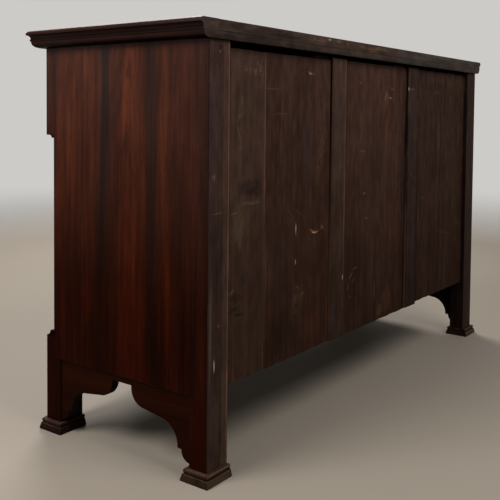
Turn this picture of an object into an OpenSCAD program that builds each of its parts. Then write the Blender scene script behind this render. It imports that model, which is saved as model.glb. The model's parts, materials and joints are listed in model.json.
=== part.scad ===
// Bow front sideboard: three drawers in the frieze over three cupboards.
// The front faces -Y, the ends face -X (left) and +X (right), and +Z is up.
// The origin is on the floor, in the middle of the whole plan.

/* [Overall] */
// Width over the two ends, without the overhang of the top
body_w = 1405; // [1250:5:1600]
// Height from the floor to the surface of the top
body_h = 915; // [890:5:960]
// Depth of an end at the doors, from the back of the rear legs
end_depth = 454; // [430:1:520]
// How far the frieze and the base stand in front of the doors
front_step = 25; // [20:1:30]
// How far the middle of the front swells beyond its ends
bow = 62; // [45:1:80]

/* [Top] */
// Thickness of the top board and its moulded edge
top_t = 23; // [22:0.5:26]
// Thickness of the moulded frame under the top
bed_t = 15; // [14:0.5:20]
// Overhang of the top at the ends
side_over = 32; // [28:1:36]
// Overhang of the top in front of the frieze
front_over = 38; // [30:1:42]
// Overhang of the top behind the rear legs
back_over = 6; // [2:1:12]
// Radius of the round on the upper edge of the top
edge_r = 8; // [6:0.5:9]
// Radius of the hollow under that edge
edge_hollow_r = 8.5; // [6:0.5:9]
// Width of the moulded strips that edge the top board
edge_w = 55; // [45:1:70]
// How far the frame under the top lies behind the tip of the edge
bed_in = 9; // [7:0.5:12]
// Radius of the round moulding of that frame
bed_r = 13; // [10:0.5:13]
// Width of the strips of the frame under the top
bed_w = 89; // [75:1:100]

/* [Legs and feet] */
// Width of a leg, seen from the back
leg_w = 66; // [60:1:72]
// Depth of a leg, seen from the end
leg_d = 45; // [40:1:55]
// Height of the moulded foot block
foot_h = 24.5; // [22:0.5:28]
// How far the foot block spreads beyond the leg
foot_out = 13; // [11:0.5:15]

/* [Ends] */
// Thickness of the end panels
panel_t = 20; // [16:1:24]
// Height of the lower edge of the end panels
panel_z = 170; // [165:1:185]
// Thickness of the shaped boards under the ends
side_apron_t = 20; // [16:1:24]
// How far the shaped boards lie behind the faces of the legs
apron_in = 3.5; // [2:0.5:6]

/* [Brackets] */
// Height of the tip of a bracket above the floor
toe_z = 31; // [29:1:36]
// Radius of the rounded toe of a bracket
toe_r = 24; // [18:1:26]
// Width of the small step between toe and hollow
cusp_w = 10; // [6:1:14]
// Radius of the hollow of a bracket
hollow_r = 49.5; // [42:0.5:52]
// Length of the gently rising run between hollow and lobe
rise_w = 44; // [30:1:50]
// Rise of that run
rise_h = 6.5; // [3:0.5:8]
// Radius of the rounded lobe beside the gap
lobe_r = 38; // [30:1:40]

/* [Base] */
// Height of the top of the base, below its moulding
base_z = 216; // [210:1:226]
// Height of the moulding on the base
base_mould_h = 16; // [12:1:17]
// Thickness of the floor of the cupboards
floor_t = 18; // [18:1:22]
// Thickness of the bowed front apron
front_apron_t = 22; // [18:1:26]
// Half width of the drop in the middle of the front apron
drop_w = 118; // [100:1:150]
// Depth of the shallow hollow in the middle of that drop
drop_step = 8; // [4:1:12]

/* [Frieze] */
// Height of the underside of the frieze
frieze_z = 674; // [660:1:690]
// Height of the small hollow moulding under the frieze
bead_h = 9; // [7:0.5:12]
// Thickness of the rails above and below the drawers
rail_t = 20; // [18:1:24]
// Depth of those rails, from front to back
rail_d = 60; // [50:1:70]
// Depth of the frieze block that shows on the end
block_d = 31; // [28:1:36]

/* [Bays] */
// Distance of the partitions from the middle
partition_x = 212; // [190:1:235]
// Thickness of the partitions and the dividers between drawers
partition_t = 22; // [20:1:26]
// Width of the stile beside each outer door
stile_w = 38.5; // [34:0.5:44]
// Thickness of the stiles
stile_t = 24; // [22:1:28]
// Height of the shelves
shelf_z = 452; // [400:2:520]
// Thickness of the shelves
shelf_t = 16; // [14:1:20]
// Side of the battens that carry the shelves
batten = 18; // [14:1:22]

/* [Doors] */
// Thickness of the doors
door_t = 22; // [20:1:24]
// Gap around a door
door_gap = 1.5; // [1.2:0.1:2.5]

/* [Drawers] */
// Thickness of the drawer fronts
drawer_front_t = 20; // [18:1:24]
// Thickness of the sides and the back of a drawer
drawer_side_t = 10; // [8:1:14]
// Thickness of the bottom of a drawer
drawer_bottom_t = 6; // [5:1:8]
// Gap around a drawer
drawer_gap = 1.5; // [1.2:0.1:2.5]
// Distance from the back of the rear legs to the back of a drawer
drawer_back = 50; // [47:1:80]
// Gap above the sides of a drawer
drawer_play = 2; // [1:0.5:6]
// Height of a drawer's bottom above the lower edge of its sides
bottom_up = 6; // [4:0.5:10]
// How far the back of a drawer is lower than its sides
drawer_back_drop = 10; // [0:1:20]

/* [Back] */
// Thickness of the back boards
board_t = 10; // [8:1:12]
// How far the back boards lie behind the rear legs' back faces
board_in = 12; // [10:1:14]
// How far the muntins lie behind the rear legs' back faces
muntin_in = 6; // [4:0.5:8]
// Width of the muntins
muntin_w = 70; // [60:1:80]
// Width of the rebates in the muntins that hold the boards
muntin_lap = 12; // [8:1:16]
// Place of the right-hand muntin, seen from the front
muntin_right_x = 191; // [180:1:215]
// Place of the left-hand muntin
muntin_left_x = -234; // [-240:1:-200]
// Place of the joint between the two right-hand boards
board_joint_x = 494; // [400:1:540]
// Gap above the right-hand boards, under the top
board_gap_right = 12; // [6:0.5:14]
// Gap above the other boards
board_gap_left = 8; // [4:0.5:12]
// Height of the lower edge of the boards
board_z = 178; // [172:1:200]
// Height of the rail behind the tops of the boards
back_rail_h = 42; // [30:1:50]

/* [Brass] */
// Height of a door hinge
hinge_h = 60; // [50:1:75]
// Radius of a hinge's barrel
barrel_r = 3.5; // [3:0.1:4]
// Radius of a hinge pin
pin_r = 1.5; // [1.2:0.1:1.8]
// Thickness of the hinge leaves
leaf_t = 1.2; // [1:0.1:1.5]
// Width of the hinge leaves
leaf_w = 18; // [14:1:19]
// Distance of the hinges from the ends of the doors
hinge_end = 70; // [40:5:100]
// Gap between a hinge's barrel and the face of its door
barrel_gap = 0.5; // [0.3:0.1:1]
// Height of the heads of the hinge pins
pin_head_h = 1.5; // [1:0.25:2.5]
// Distance between the two posts of a drawer handle
post_gap = 90; // [80:1:110]
// How far the bail's axis stands in front of the drawer
post_out = 18; // [15:1:22]
// Radius of the round plates of the handles
rose_r = 12; // [10:1:15]
// Drop of the bail below its axis
bail_drop = 36; // [30:1:42]
// Radius of the bail's rod
bail_r = 3; // [2.5:0.1:3.5]
// Radius of the round heads of the posts
head_r = 7; // [6:0.5:8]
// Radius of the bail's pins
bail_pin_r = 2.4; // [2:0.1:2.6]
// Radius of the bends at the lower corners of the bail
bend_r = 14; // [8:1:18]
// Radius of a door knob
knob_r = 12; // [10:0.5:15]
// Distance of a knob's middle from the free edge of its door
knob_in = 32; // [24:1:45]

/* [Hidden] */

// Steps of the great circles of the bow, and of small round parts
bow_fn = 720;
round_fn = 48;
// Clearance of parts that slide or turn on each other, and of a running pin
seat = 0.3;
pin_play = 0.05;
knuckle_play = 0.2;
// Reach of the cutting shapes beyond what they cut
past = 50;

half_w = body_w / 2;
frieze_t = end_depth + front_step;
back_y = (frieze_t + bow + front_over - max(foot_out, back_over)) / 2;
// The bow is one circle through both front corners of the frieze
frieze_r = (half_w * half_w + bow * bow) / (2 * bow);
door_r = frieze_r - front_step;
bow_y = back_y - frieze_t - bow + frieze_r;

bed_z = body_h - top_t - bed_t;
floor_z = base_z + floor_t;
lower_rail_z = frieze_z + bead_h;
drawer_z0 = lower_rail_z + rail_t;
drawer_z1 = bed_z - rail_t;
stile_x = half_w - panel_t - stile_w;
inner_t = board_in + board_t;
leg_front_t = frieze_t - leg_d - 2;
block_t = frieze_t - block_d;

// Outline of a bracket, from the leg to the gap: distance from the leg, height
step_z = toe_z + toe_r + 1;
hollow_x = toe_r + cusp_w + hollow_r;
lobe_x = hollow_x + rise_w;
bracket_w = lobe_x + lobe_r;
hollow_z = step_z + 2;
lobe_z = hollow_z + hollow_r + rise_h + lobe_r;
bridge_z = lobe_z + 3.5;

// Lower and upper ends of the knuckles of a hinge's two leaves
FRAME_KNUCKLES = [[0, hinge_h / 3], [2 * hinge_h / 3, hinge_h]];
DOOR_KNUCKLES = [[hinge_h / 3 + knuckle_play, 2 * hinge_h / 3 - knuckle_play]];
// How far a hinge's leaves reach from its axis
leaf_end = barrel_r + seat + leaf_w;
// Distance of a bail's arms from its middle
arm_x = post_gap / 2 - head_r - 5;

// Bays from left to right: their two sides
BAYS = [[-stile_x, -partition_x - partition_t / 2],
        [-partition_x + partition_t / 2, partition_x - partition_t / 2],
        [partition_x + partition_t / 2, stile_x]];
LEFT = 0;
CENTRE = 1;
RIGHT = 2;

rosewood = [0.30, 0.11, 0.07];
dark_rosewood = [0.20, 0.08, 0.05];
back_wood = [0.27, 0.22, 0.19];
inner_wood = [0.62, 0.47, 0.30];
brass = [0.75, 0.58, 0.28];

function face_y(x, r) = bow_y - sqrt(r * r - x * x);
function face_angle(x, r) = asin(x / r);
function arc(c, r, a0, a1, n = 8) =
    [for (i = [0:n]) let (a = a0 + (a1 - a0) * i / n) c + r * [cos(a), sin(a)]];
function bracket_edge() = concat(
    arc([0, toe_z + toe_r], toe_r, -90, 0, 6),
    [[toe_r + cusp_w, step_z]],
    arc([hollow_x, hollow_z], hollow_r, 180, 90, 10),
    arc([lobe_x, lobe_z], lobe_r, -90, 0, 8),
    [[bracket_w, bridge_z]]);
function reversed(p) = [for (i = [len(p) - 1:-1:0]) p[i]];
function shifted(p, dx, sx = 1) = [for (q = p) [dx + sx * q[0], q[1]]];

// Sections of the mouldings: distance from the face they crown, height from their top
function edge_section(over) = concat(
    [[over - edge_w, 0]],
    arc([over - edge_r, -edge_r], edge_r, 90, 0, 5),
    arc([over, -edge_r - edge_hollow_r - 1.5], edge_hollow_r, 90, 180, 5),
    [[over - bed_in + 2, -edge_r - edge_hollow_r - 2.5], [over - bed_in + 2, -top_t],
     [over - edge_w, -top_t]]);
function bed_section(over) = concat(
    [[over - bed_in - bed_w, 0], [over - bed_in, 0]],
    arc([over - bed_in - bed_r, -1], bed_r, 0, -78, 6),
    [[over - bed_in - bed_r - 2, -bed_t], [over - bed_in - bed_w, -bed_t]]);

// A point of the mitre at the right front corner of the top, w in from its edges
function mitre_point(w) =
    let (x = half_w + side_over - w) [x, face_y(x, frieze_r + front_over - w)];

module right_or_left(side) {
    mirror([side < 0 ? 1 : 0, 0, 0]) children();
}

// A block between two places across, two distances from the back and two heights
module block(x0, x1, t0, t1, z0, z1) {
    translate([x0, back_y - t1, z0]) cube([x1 - x0, t1 - t0, z1 - z0]);
}

// A board that starts t0 from the back and ends in front on the bow's circle r
module bow_board(r, x0, x1, t0, z0, z1) {
    translate([0, bow_y, z0]) linear_extrude(z1 - z0) intersection() {
        circle(r, $fn = bow_fn);
        translate([x0, -r - past]) square([x1 - x0, back_y - t0 - bow_y + r + past]);
    }
}

// A strip bent to the bow, between two of its circles
module bow_strip(r0, r1, x0, x1, z0, z1) {
    translate([0, bow_y, z0]) linear_extrude(z1 - z0) intersection() {
        difference() {
            circle(r1, $fn = bow_fn);
            circle(r0, $fn = bow_fn);
        }
        translate([x0, -r1 - past]) square([x1 - x0, r1]);
    }
}

// A ring with the bow's circle: its section holds distances from the frieze's face
module bow_moulding(section, z) {
    translate([0, bow_y, z]) rotate_extrude($fn = bow_fn)
        translate([frieze_r, 0]) polygon(section);
}

module between_ends(x, z0, z1) {
    intersection() {
        children();
        translate([-x, -body_w, z0]) cube([2 * x, 2 * body_w, z1 - z0]);
    }
}

// The part of the plan in front of both mitres of the top
module in_front_of_mitres(w) {
    outer = mitre_point(0);
    inner = mitre_point(w);
    tip = outer + (outer - inner);
    reach = tip + [0, -body_w];
    linear_extrude(2 * body_h)
        polygon([[-inner[0], inner[1]], inner, tip, reach,
                 [-reach[0], reach[1]], [-tip[0], tip[1]]]);
}

module mitred_strips(w, z, side_section, front_section) {
    for (side = [-1, 1]) right_or_left(side) difference() {
        translate([half_w, back_y + back_over, z]) rotate([90, 0, 0])
            linear_extrude(frieze_t + front_over + back_over) polygon(side_section);
        in_front_of_mitres(w);
    }
    intersection() {
        bow_moulding(front_section, z);
        in_front_of_mitres(w);
    }
}

module top_board() {
    color(rosewood)
        bow_board(frieze_r + front_over - edge_w, -half_w - side_over + edge_w,
                  half_w + side_over - edge_w, -back_over, body_h - top_t, body_h);
}

module top_edge_moulding() {
    color(rosewood)
        mitred_strips(edge_w, body_h, edge_section(side_over), edge_section(front_over));
}

// The moulded frame under the top, with a plain strip along its back
module bed_frame() {
    inner_x = half_w + side_over - bed_in - bed_w;
    color(rosewood) {
        mitred_strips(bed_w + bed_in, body_h - top_t, bed_section(side_over),
                      bed_section(front_over));
        block(-inner_x, inner_x, -back_over, bed_w - back_over, bed_z, bed_z + bed_t);
    }
}

module rear_post(side) {
    color(rosewood) right_or_left(side)
        block(half_w - leg_w, half_w, 0, leg_d, foot_h, bed_z);
}

// The front leg stops under the base moulding and is cut back for the end panel
module front_leg(side) {
    color(rosewood) right_or_left(side) difference() {
        bow_board(frieze_r, half_w - leg_w, half_w, leg_front_t, foot_h, base_z);
        translate([0, 0, panel_z]) intersection() {
            block(half_w - panel_t, half_w + past, leg_front_t - past, frieze_t, 0, base_z);
            bow_board(door_r, half_w - panel_t, half_w + past, 0, 0, base_z);
        }
    }
}

// Section of a foot block: spread beyond the leg at each height
FOOT = [[foot_out - 0.5, 0], [foot_out, 3], [foot_out - 3, foot_h - 10],
        [foot_out - 6, foot_h - 8], [foot_out - 6, foot_h - 7], [foot_out - 4.5, foot_h - 6],
        [foot_out - 4, foot_h - 3], [foot_out - 5.5, foot_h]];

// A foot block spreads on the outer, front and back faces, and is flush inside
module foot_across() {
    translate([half_w, back_y + past, 0]) rotate([90, 0, 0]) linear_extrude(frieze_t + 3 * past)
        polygon(concat([[-leg_w, 0]], FOOT, [[-leg_w, foot_h]]));
}

module foot_along(t0, t1) {
    translate([half_w - leg_w - past, back_y, 0]) rotate([90, 0, 90])
        linear_extrude(leg_w + 3 * past)
            polygon(concat([for (p = FOOT) [p[0] - t0, p[1]]],
                           [for (p = reversed(FOOT)) [-t1 - p[0], p[1]]]));
}

module feet() {
    color(dark_rosewood) for (side = [-1, 1]) right_or_left(side) {
        intersection() {
            foot_across();
            foot_along(0, leg_d);
        }
        intersection() {
            foot_across();
            foot_along(leg_front_t, frieze_t + 2 * past);
            bow_moulding(concat([[-3 * past, 0]], FOOT, [[-3 * past, foot_h]]), 0);
        }
    }
}

module side_panel(side) {
    color(rosewood) right_or_left(side) {
        difference() {
            bow_board(door_r, half_w - panel_t, half_w, leg_d, panel_z, bed_z);
            block(half_w - panel_t - past, half_w + past, block_t, frieze_t + past,
                  frieze_z, body_h);
        }
    }
}

// The shaped board between the legs of an end: two brackets and a thin bridge
module side_apron(side) {
    t1 = leg_front_t;
    edge = concat(shifted(bracket_edge(), leg_d), reversed(shifted(bracket_edge(), t1, -1)));
    color(rosewood) right_or_left(side)
        translate([half_w - apron_in - side_apron_t, back_y, 0])
            rotate([90, 0, 90]) linear_extrude(side_apron_t)
                polygon([for (p = concat(edge, [[t1, panel_z], [leg_d, panel_z]])) [-p[0], p[1]]]);
}

module front_apron() {
    span = half_w - leg_w;
    // The drop in the middle: a lobe, a short rise and a shallow hollow at each side
    drop = concat([[-drop_w, bridge_z]], arc([lobe_r - drop_w, lobe_z], lobe_r, 180, 270, 8),
                  [[lobe_r + drop_step - drop_w, lobe_z - lobe_r + drop_step]]);
    outline = concat(shifted(bracket_edge(), -span), drop);
    color(rosewood) intersection() {
        bow_strip(frieze_r - apron_in - front_apron_t, frieze_r - apron_in, -span, span,
                  0, base_z);
        translate([0, back_y, 0]) rotate([90, 0, 0]) linear_extrude(frieze_t + bow + past)
            polygon(concat(outline, reversed(shifted(outline, 0, -1)),
                           [[span, base_z], [-span, base_z]]));
    }
}

module base_moulding() {
    h = base_mould_h;
    section = concat([[-front_step, 0], [0, 0], [0, 3]],
                     arc([1, h], h - 3, -95, -175, 6), [[-h + 2, h], [-front_step, h]]);
    color(rosewood) between_ends(half_w, 0, body_h) bow_moulding(section, base_z);
}

// A board between the ends, notched round the rear posts
module inner_board(r, x0, z0, z1) {
    difference() {
        bow_board(r, x0, half_w - panel_t, inner_t, z0, z1);
        for (side = [-1, 1]) right_or_left(side)
            block(half_w - leg_w, half_w, 0, leg_d, z0 - past, z1 + past);
    }
}

module bottom_board() {
    color(inner_wood) inner_board(door_r, panel_t - half_w, base_z, floor_z);
}

// The stile beside an outer door, with the thicker frieze block on top of it
module front_stile(side) {
    color(rosewood) right_or_left(side) difference() {
        union() {
            bow_strip(door_r - stile_t, door_r, stile_x, stile_x + stile_w, floor_z, frieze_z);
            bow_board(door_r, stile_x, half_w, block_t, frieze_z, lower_rail_z);
            bow_board(frieze_r, stile_x, half_w, block_t, lower_rail_z, bed_z);
        }
        leaf_pockets(RIGHT);
    }
}

module frieze_top_rail() {
    color(rosewood)
        bow_strip(frieze_r - rail_d, frieze_r, -stile_x, stile_x, drawer_z1, bed_z);
}

module frieze_bottom_rail() {
    color(rosewood) {
        bow_strip(frieze_r - rail_d, door_r, -stile_x, stile_x, frieze_z, lower_rail_z);
        bow_strip(frieze_r - rail_d, frieze_r, -stile_x, stile_x, lower_rail_z, drawer_z0);
    }
}

module frieze_bead() {
    h = bead_h;
    section = concat([[-front_step, 0], [-front_step, -h], [-front_step + 5, -h]],
                     arc([-h, -h - 2], h, 160, 75, 6), [[0, -2], [0, 0]]);
    color(rosewood) between_ends(half_w, 0, body_h) bow_moulding(section, lower_rail_z);
}

module dust_board() {
    color(inner_wood)
        inner_board(frieze_r - rail_d, panel_t - half_w, lower_rail_z, drawer_z0);
}

module drawer_divider(side) {
    color(rosewood) right_or_left(side)
        bow_board(frieze_r, partition_x - partition_t / 2, partition_x + partition_t / 2,
                  leg_d, drawer_z0, drawer_z1);
}

module guides_and_stops() {
    kicker_w = 60;
    guide_h = 27;
    stop = [24, 12, 18];
    stop_in = 6;
    color(inner_wood) {
        for (side = [-1, 1]) right_or_left(side) {
            // Guide beside the outer drawer, and the kickers above the drawers' sides
            block(stile_x, half_w - panel_t, leg_d, block_t, drawer_z0, drawer_z0 + guide_h);
            for (x = [half_w - panel_t - kicker_w, partition_x - kicker_w / 2])
                bow_board(frieze_r - rail_d, x, x + kicker_w, leg_d, drawer_z1, bed_z);
        }
        // Stops behind the free corners of the doors, under the frieze rail
        for (x = [BAYS[LEFT][1] - stop[0] - stop_in, BAYS[CENTRE][1] - stop[0] - stop_in,
                  BAYS[RIGHT][0] + stop_in])
            bow_strip(door_r - door_t - seat - stop[1], door_r - door_t - seat, x, x + stop[0],
                      frieze_z - stop[2], frieze_z);
    }
}

// A partition ends on the doors' face and is notched under the frieze rail
module partition(side) {
    x0 = partition_x - partition_t / 2;
    color(rosewood) right_or_left(side) difference() {
        union() {
            bow_board(door_r, x0, x0 + partition_t, inner_t, floor_z, frieze_z);
            bow_board(frieze_r - rail_d, x0, x0 + partition_t, inner_t, frieze_z, lower_rail_z);
        }
        if (side < 0) mirror([1, 0, 0]) leaf_pockets(CENTRE);
    }
}

module shelves() {
    color(inner_wood) for (side = [-1, 1]) right_or_left(side)
        inner_board(frieze_r - 2 * rail_d, partition_x + partition_t / 2, shelf_z,
                    shelf_z + shelf_t);
}

module shelf_battens() {
    color(inner_wood) for (side = [-1, 1]) right_or_left(side)
        for (x = [partition_x + partition_t / 2, half_w - panel_t - batten])
            block(x, x + batten, leg_d, frieze_t - 2 * rail_d, shelf_z - batten, shelf_z);
}

// A muntin is rebated on both edges, and the boards tuck behind its face
module back_muntin(x) {
    color(back_wood) {
        block(x - muntin_w / 2, x + muntin_w / 2, muntin_in, board_in, board_z,
              bed_z - board_gap_left + 2);
        block(x - muntin_w / 2 + muntin_lap, x + muntin_w / 2 - muntin_lap, board_in, inner_t,
              board_z, bed_z - board_gap_left + 2);
    }
}

module back_board(x0, x1, gap, drop = 0) {
    color(back_wood) block(x0, x1, board_in, inner_t, board_z - drop, bed_z - gap);
}

module back_boards_right() {
    joint = 0.8;
    back_board(board_joint_x + joint / 2, half_w - leg_w, board_gap_right);
    back_board(muntin_right_x + muntin_w / 2 - muntin_lap, board_joint_x - joint / 2,
               board_gap_right, 1);
}

module back_top_rail() {
    top = drawer_z1 + 2;
    color(inner_wood)
        block(-half_w + leg_w, half_w - leg_w, inner_t, leg_d, top - back_rail_h, top);
}

// A door hangs on the left of its bay, except the right-hand one
function hangs_left(bay) = bay != RIGHT;
function hinge_x(bay) = hangs_left(bay) ? BAYS[bay][0] + door_gap / 2 : BAYS[bay][1] - door_gap / 2;
function hinge_y(bay) = face_y(hinge_x(bay), door_r) - barrel_r - barrel_gap;
function hinge_heights() = [floor_z + hinge_end, frieze_z - hinge_end - hinge_h];

// Pockets for the hinge leaves in the frame beside a door
module leaf_pockets(bay) {
    turn = hangs_left(bay) ? 1 : -1;
    for (z = hinge_heights())
        translate([hinge_x(bay), hinge_y(bay), z]) mirror([turn < 0 ? 1 : 0, 0, 0])
            translate([-door_gap / 2 - leaf_t, 0, 0])
                cube([leaf_t + door_gap / 2, leaf_end, hinge_h]);
}

// One leaf with its knuckles, seen with the door to the right of the axis
module leaf(face, knuckles) {
    flap_y = barrel_r + seat;
    flap_x = face < 0 ? -door_gap / 2 - leaf_t : door_gap / 2;
    difference() {
        union() {
            translate([flap_x, flap_y, 0]) cube([leaf_t, leaf_w, hinge_h]);
            for (k = knuckles) translate([0, 0, k[0]]) {
                cylinder(r = barrel_r, h = k[1] - k[0], $fn = round_fn);
                translate([flap_x, 0, 0]) cube([leaf_t, flap_y + 1, k[1] - k[0]]);
            }
        }
        translate([0, 0, -1])
            cylinder(r = pin_r + pin_play, h = hinge_h + 2, $fn = round_fn);
    }
}

module on_hinges(bay) {
    for (z = hinge_heights()) translate([hinge_x(bay), hinge_y(bay), z])
        mirror([hangs_left(bay) ? 0 : 1, 0, 0]) children();
}

module hinge_frame_leaves() {
    color(brass) for (bay = [LEFT, CENTRE, RIGHT]) on_hinges(bay) leaf(-1, FRAME_KNUCKLES);
}

module hinge_pins() {
    color(brass) for (bay = [LEFT, CENTRE, RIGHT]) on_hinges(bay) {
        cylinder(r = pin_r, h = hinge_h, $fn = round_fn);
        for (z = [-pin_head_h, hinge_h])
            translate([0, 0, z])
                cylinder(r = (barrel_r + pin_r) / 2, h = pin_head_h, $fn = round_fn);
    }
}

module door_leaves(bay) {
    color(brass) on_hinges(bay) leaf(1, DOOR_KNUCKLES);
}

module door(bay) {
    color(rosewood) difference() {
        bow_strip(door_r - door_t, door_r, BAYS[bay][0] + door_gap, BAYS[bay][1] - door_gap,
                  floor_z + door_gap, frieze_z - door_gap);
        on_hinges(bay) cube([door_gap / 2 + leaf_t, leaf_end, hinge_h]);
    }
}

// A knob turned about its axis, set square to the bow near the door's free edge
module door_knob(bay) {
    x = hangs_left(bay) ? BAYS[bay][1] - door_gap - knob_in : BAYS[bay][0] + door_gap + knob_in;
    neck_r = knob_r * 0.38;
    color(brass) translate([x, face_y(x, door_r), (floor_z + frieze_z) / 2 + 30])
        rotate([90, 0, face_angle(x, door_r)]) rotate_extrude($fn = round_fn)
            polygon(concat([[0, 0], [knob_r + 1, 0], [knob_r + 1, 1.5], [knob_r - 1, 3],
                            [neck_r, 5], [neck_r, 11]],
                           arc([0, 11 + knob_r * 0.85], knob_r, -58, 90, 9)));
}

// Drawers: front on the frieze's face, sides and back behind it, bottom between them
module drawer_front(bay) {
    color(rosewood)
        bow_strip(frieze_r - drawer_front_t, frieze_r, BAYS[bay][0] + drawer_gap,
                  BAYS[bay][1] - drawer_gap, drawer_z0 + drawer_gap, drawer_z1 - drawer_gap);
}

module drawer_box(bay) {
    x0 = BAYS[bay][0] + drawer_gap;
    x1 = BAYS[bay][1] - drawer_gap;
    z0 = drawer_z0 + seat;
    z1 = drawer_z1 - drawer_play;
    r = frieze_r - drawer_front_t;
    color(inner_wood) {
        bow_board(r, x0, x0 + drawer_side_t, drawer_back, z0, z1);
        bow_board(r, x1 - drawer_side_t, x1, drawer_back, z0, z1);
        block(x0 + drawer_side_t, x1 - drawer_side_t, drawer_back,
              drawer_back + drawer_side_t, z0 + bottom_up + drawer_bottom_t,
              z1 - drawer_back_drop);
    }
}

module drawer_bottom(bay) {
    x0 = BAYS[bay][0] + drawer_gap + drawer_side_t;
    x1 = BAYS[bay][1] - drawer_gap - drawer_side_t;
    z0 = drawer_z0 + seat + bottom_up;
    color(inner_wood)
        bow_board(frieze_r - drawer_front_t, x0, x1, drawer_back, z0, z0 + drawer_bottom_t);
}

// Places a drawer handle's axis square to the bow in the middle of a drawer
module on_drawer(bay) {
    x = (BAYS[bay][0] + BAYS[bay][1]) / 2;
    inner = post_gap / 2 - rose_r;
    sag = frieze_r - sqrt(frieze_r * frieze_r - inner * inner);
    translate([x, face_y(x, frieze_r), (drawer_z0 + drawer_z1) / 2 + bail_drop / 3])
        rotate([0, 0, face_angle(x, frieze_r)]) translate([0, sag, 0]) children();
}

module handle_posts(bay) {
    color(brass) on_drawer(bay) for (side = [-1, 1]) right_or_left(side) difference() {
        translate([post_gap / 2, 0, 0]) rotate([90, 0, 0]) rotate_extrude($fn = round_fn)
            polygon(concat([[0, 0], [rose_r, 0], [rose_r, 1.5], [rose_r - 2, 2.8],
                            [head_r * 0.6, 4], [head_r * 0.6, post_out - head_r * 0.8]],
                           arc([0, post_out], head_r, -53, 90, 9)));
        translate([post_gap / 2 - 2 * head_r, -post_out, 0]) rotate([0, 90, 0])
            cylinder(r = bail_pin_r + pin_play, h = 2 * head_r + 3, $fn = round_fn);
    }
}

// The bail hangs from two pins that turn in the posts
module bail(bay) {
    color(brass) on_drawer(bay) translate([0, -post_out, 0]) {
        for (side = [-1, 1]) right_or_left(side) {
            translate([arm_x, 0, 0]) rotate([0, 90, 0])
                cylinder(r = bail_pin_r, h = post_gap / 2 - arm_x + 2, $fn = round_fn);
            translate([arm_x, 0, 0]) sphere(r = bail_r + 1, $fn = round_fn);
            translate([arm_x, 0, bend_r - bail_drop])
                cylinder(r = bail_r, h = bail_drop - bend_r, $fn = round_fn);
            translate([arm_x - bend_r, 0, bend_r - bail_drop]) rotate([90, 0, 0])
                rotate([0, 0, -90]) rotate_extrude(angle = 90, $fn = round_fn)
                    translate([bend_r, 0]) circle(bail_r, $fn = round_fn);
        }
        translate([bend_r - arm_x, 0, -bail_drop]) rotate([0, 90, 0])
            cylinder(r = bail_r, h = 2 * (arm_x - bend_r), $fn = round_fn);
    }
}

top_board();
top_edge_moulding();
bed_frame();
rear_post(-1);  // rear_post_left
rear_post(1);  // rear_post_right
front_leg(-1);  // front_leg_left
front_leg(1);  // front_leg_right
feet();
side_panel(-1);  // side_panel_left
side_panel(1);  // side_panel_right
side_apron(-1);  // side_apron_left
side_apron(1);  // side_apron_right
front_apron();
base_moulding();
bottom_board();
front_stile(-1);  // front_stile_left
front_stile(1);  // front_stile_right
frieze_top_rail();
frieze_bottom_rail();
frieze_bead();
dust_board();
drawer_divider(-1);  // drawer_divider_left
drawer_divider(1);  // drawer_divider_right
guides_and_stops();
partition(-1);  // partition_left
partition(1);  // partition_right
shelves();
shelf_battens();
back_muntin(muntin_left_x);  // back_muntin_left
back_muntin(muntin_right_x);  // back_muntin_right
back_board(leg_w - half_w, muntin_left_x - muntin_w / 2 + muntin_lap, board_gap_left, -3);  // back_board_left
back_board(muntin_left_x + muntin_w / 2 - muntin_lap,  // back_board_centre
               muntin_right_x - muntin_w / 2 + muntin_lap, board_gap_left, 2);
back_boards_right();
back_top_rail();
hinge_frame_leaves();
hinge_pins();
drawer_front(LEFT);  // drawer_front_left
drawer_front(CENTRE);  // drawer_front_centre
drawer_front(RIGHT);  // drawer_front_right
drawer_box(LEFT);  // drawer_box_left
drawer_box(CENTRE);  // drawer_box_centre
drawer_box(RIGHT);  // drawer_box_right
drawer_bottom(LEFT);  // drawer_bottom_left
drawer_bottom(CENTRE);  // drawer_bottom_centre
drawer_bottom(RIGHT);  // drawer_bottom_right
handle_posts(LEFT);  // handle_posts_left
handle_posts(CENTRE);  // handle_posts_centre
handle_posts(RIGHT);  // handle_posts_right
bail(LEFT);  // bail_left
bail(CENTRE);  // bail_centre
bail(RIGHT);  // bail_right
door(LEFT);  // door_left
door(CENTRE);  // door_centre
door(RIGHT);  // door_right
door_leaves(LEFT);  // door_leaves_left
door_leaves(CENTRE);  // door_leaves_centre
door_leaves(RIGHT);  // door_leaves_right
door_knob(LEFT);  // door_knob_left
door_knob(CENTRE);  // door_knob_centre
door_knob(RIGHT);  // door_knob_right
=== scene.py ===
import json
import math
import random

import bmesh
import bpy
from mathutils import Matrix, Vector, noise
from mathutils.bvhtree import BVHTree

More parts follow.
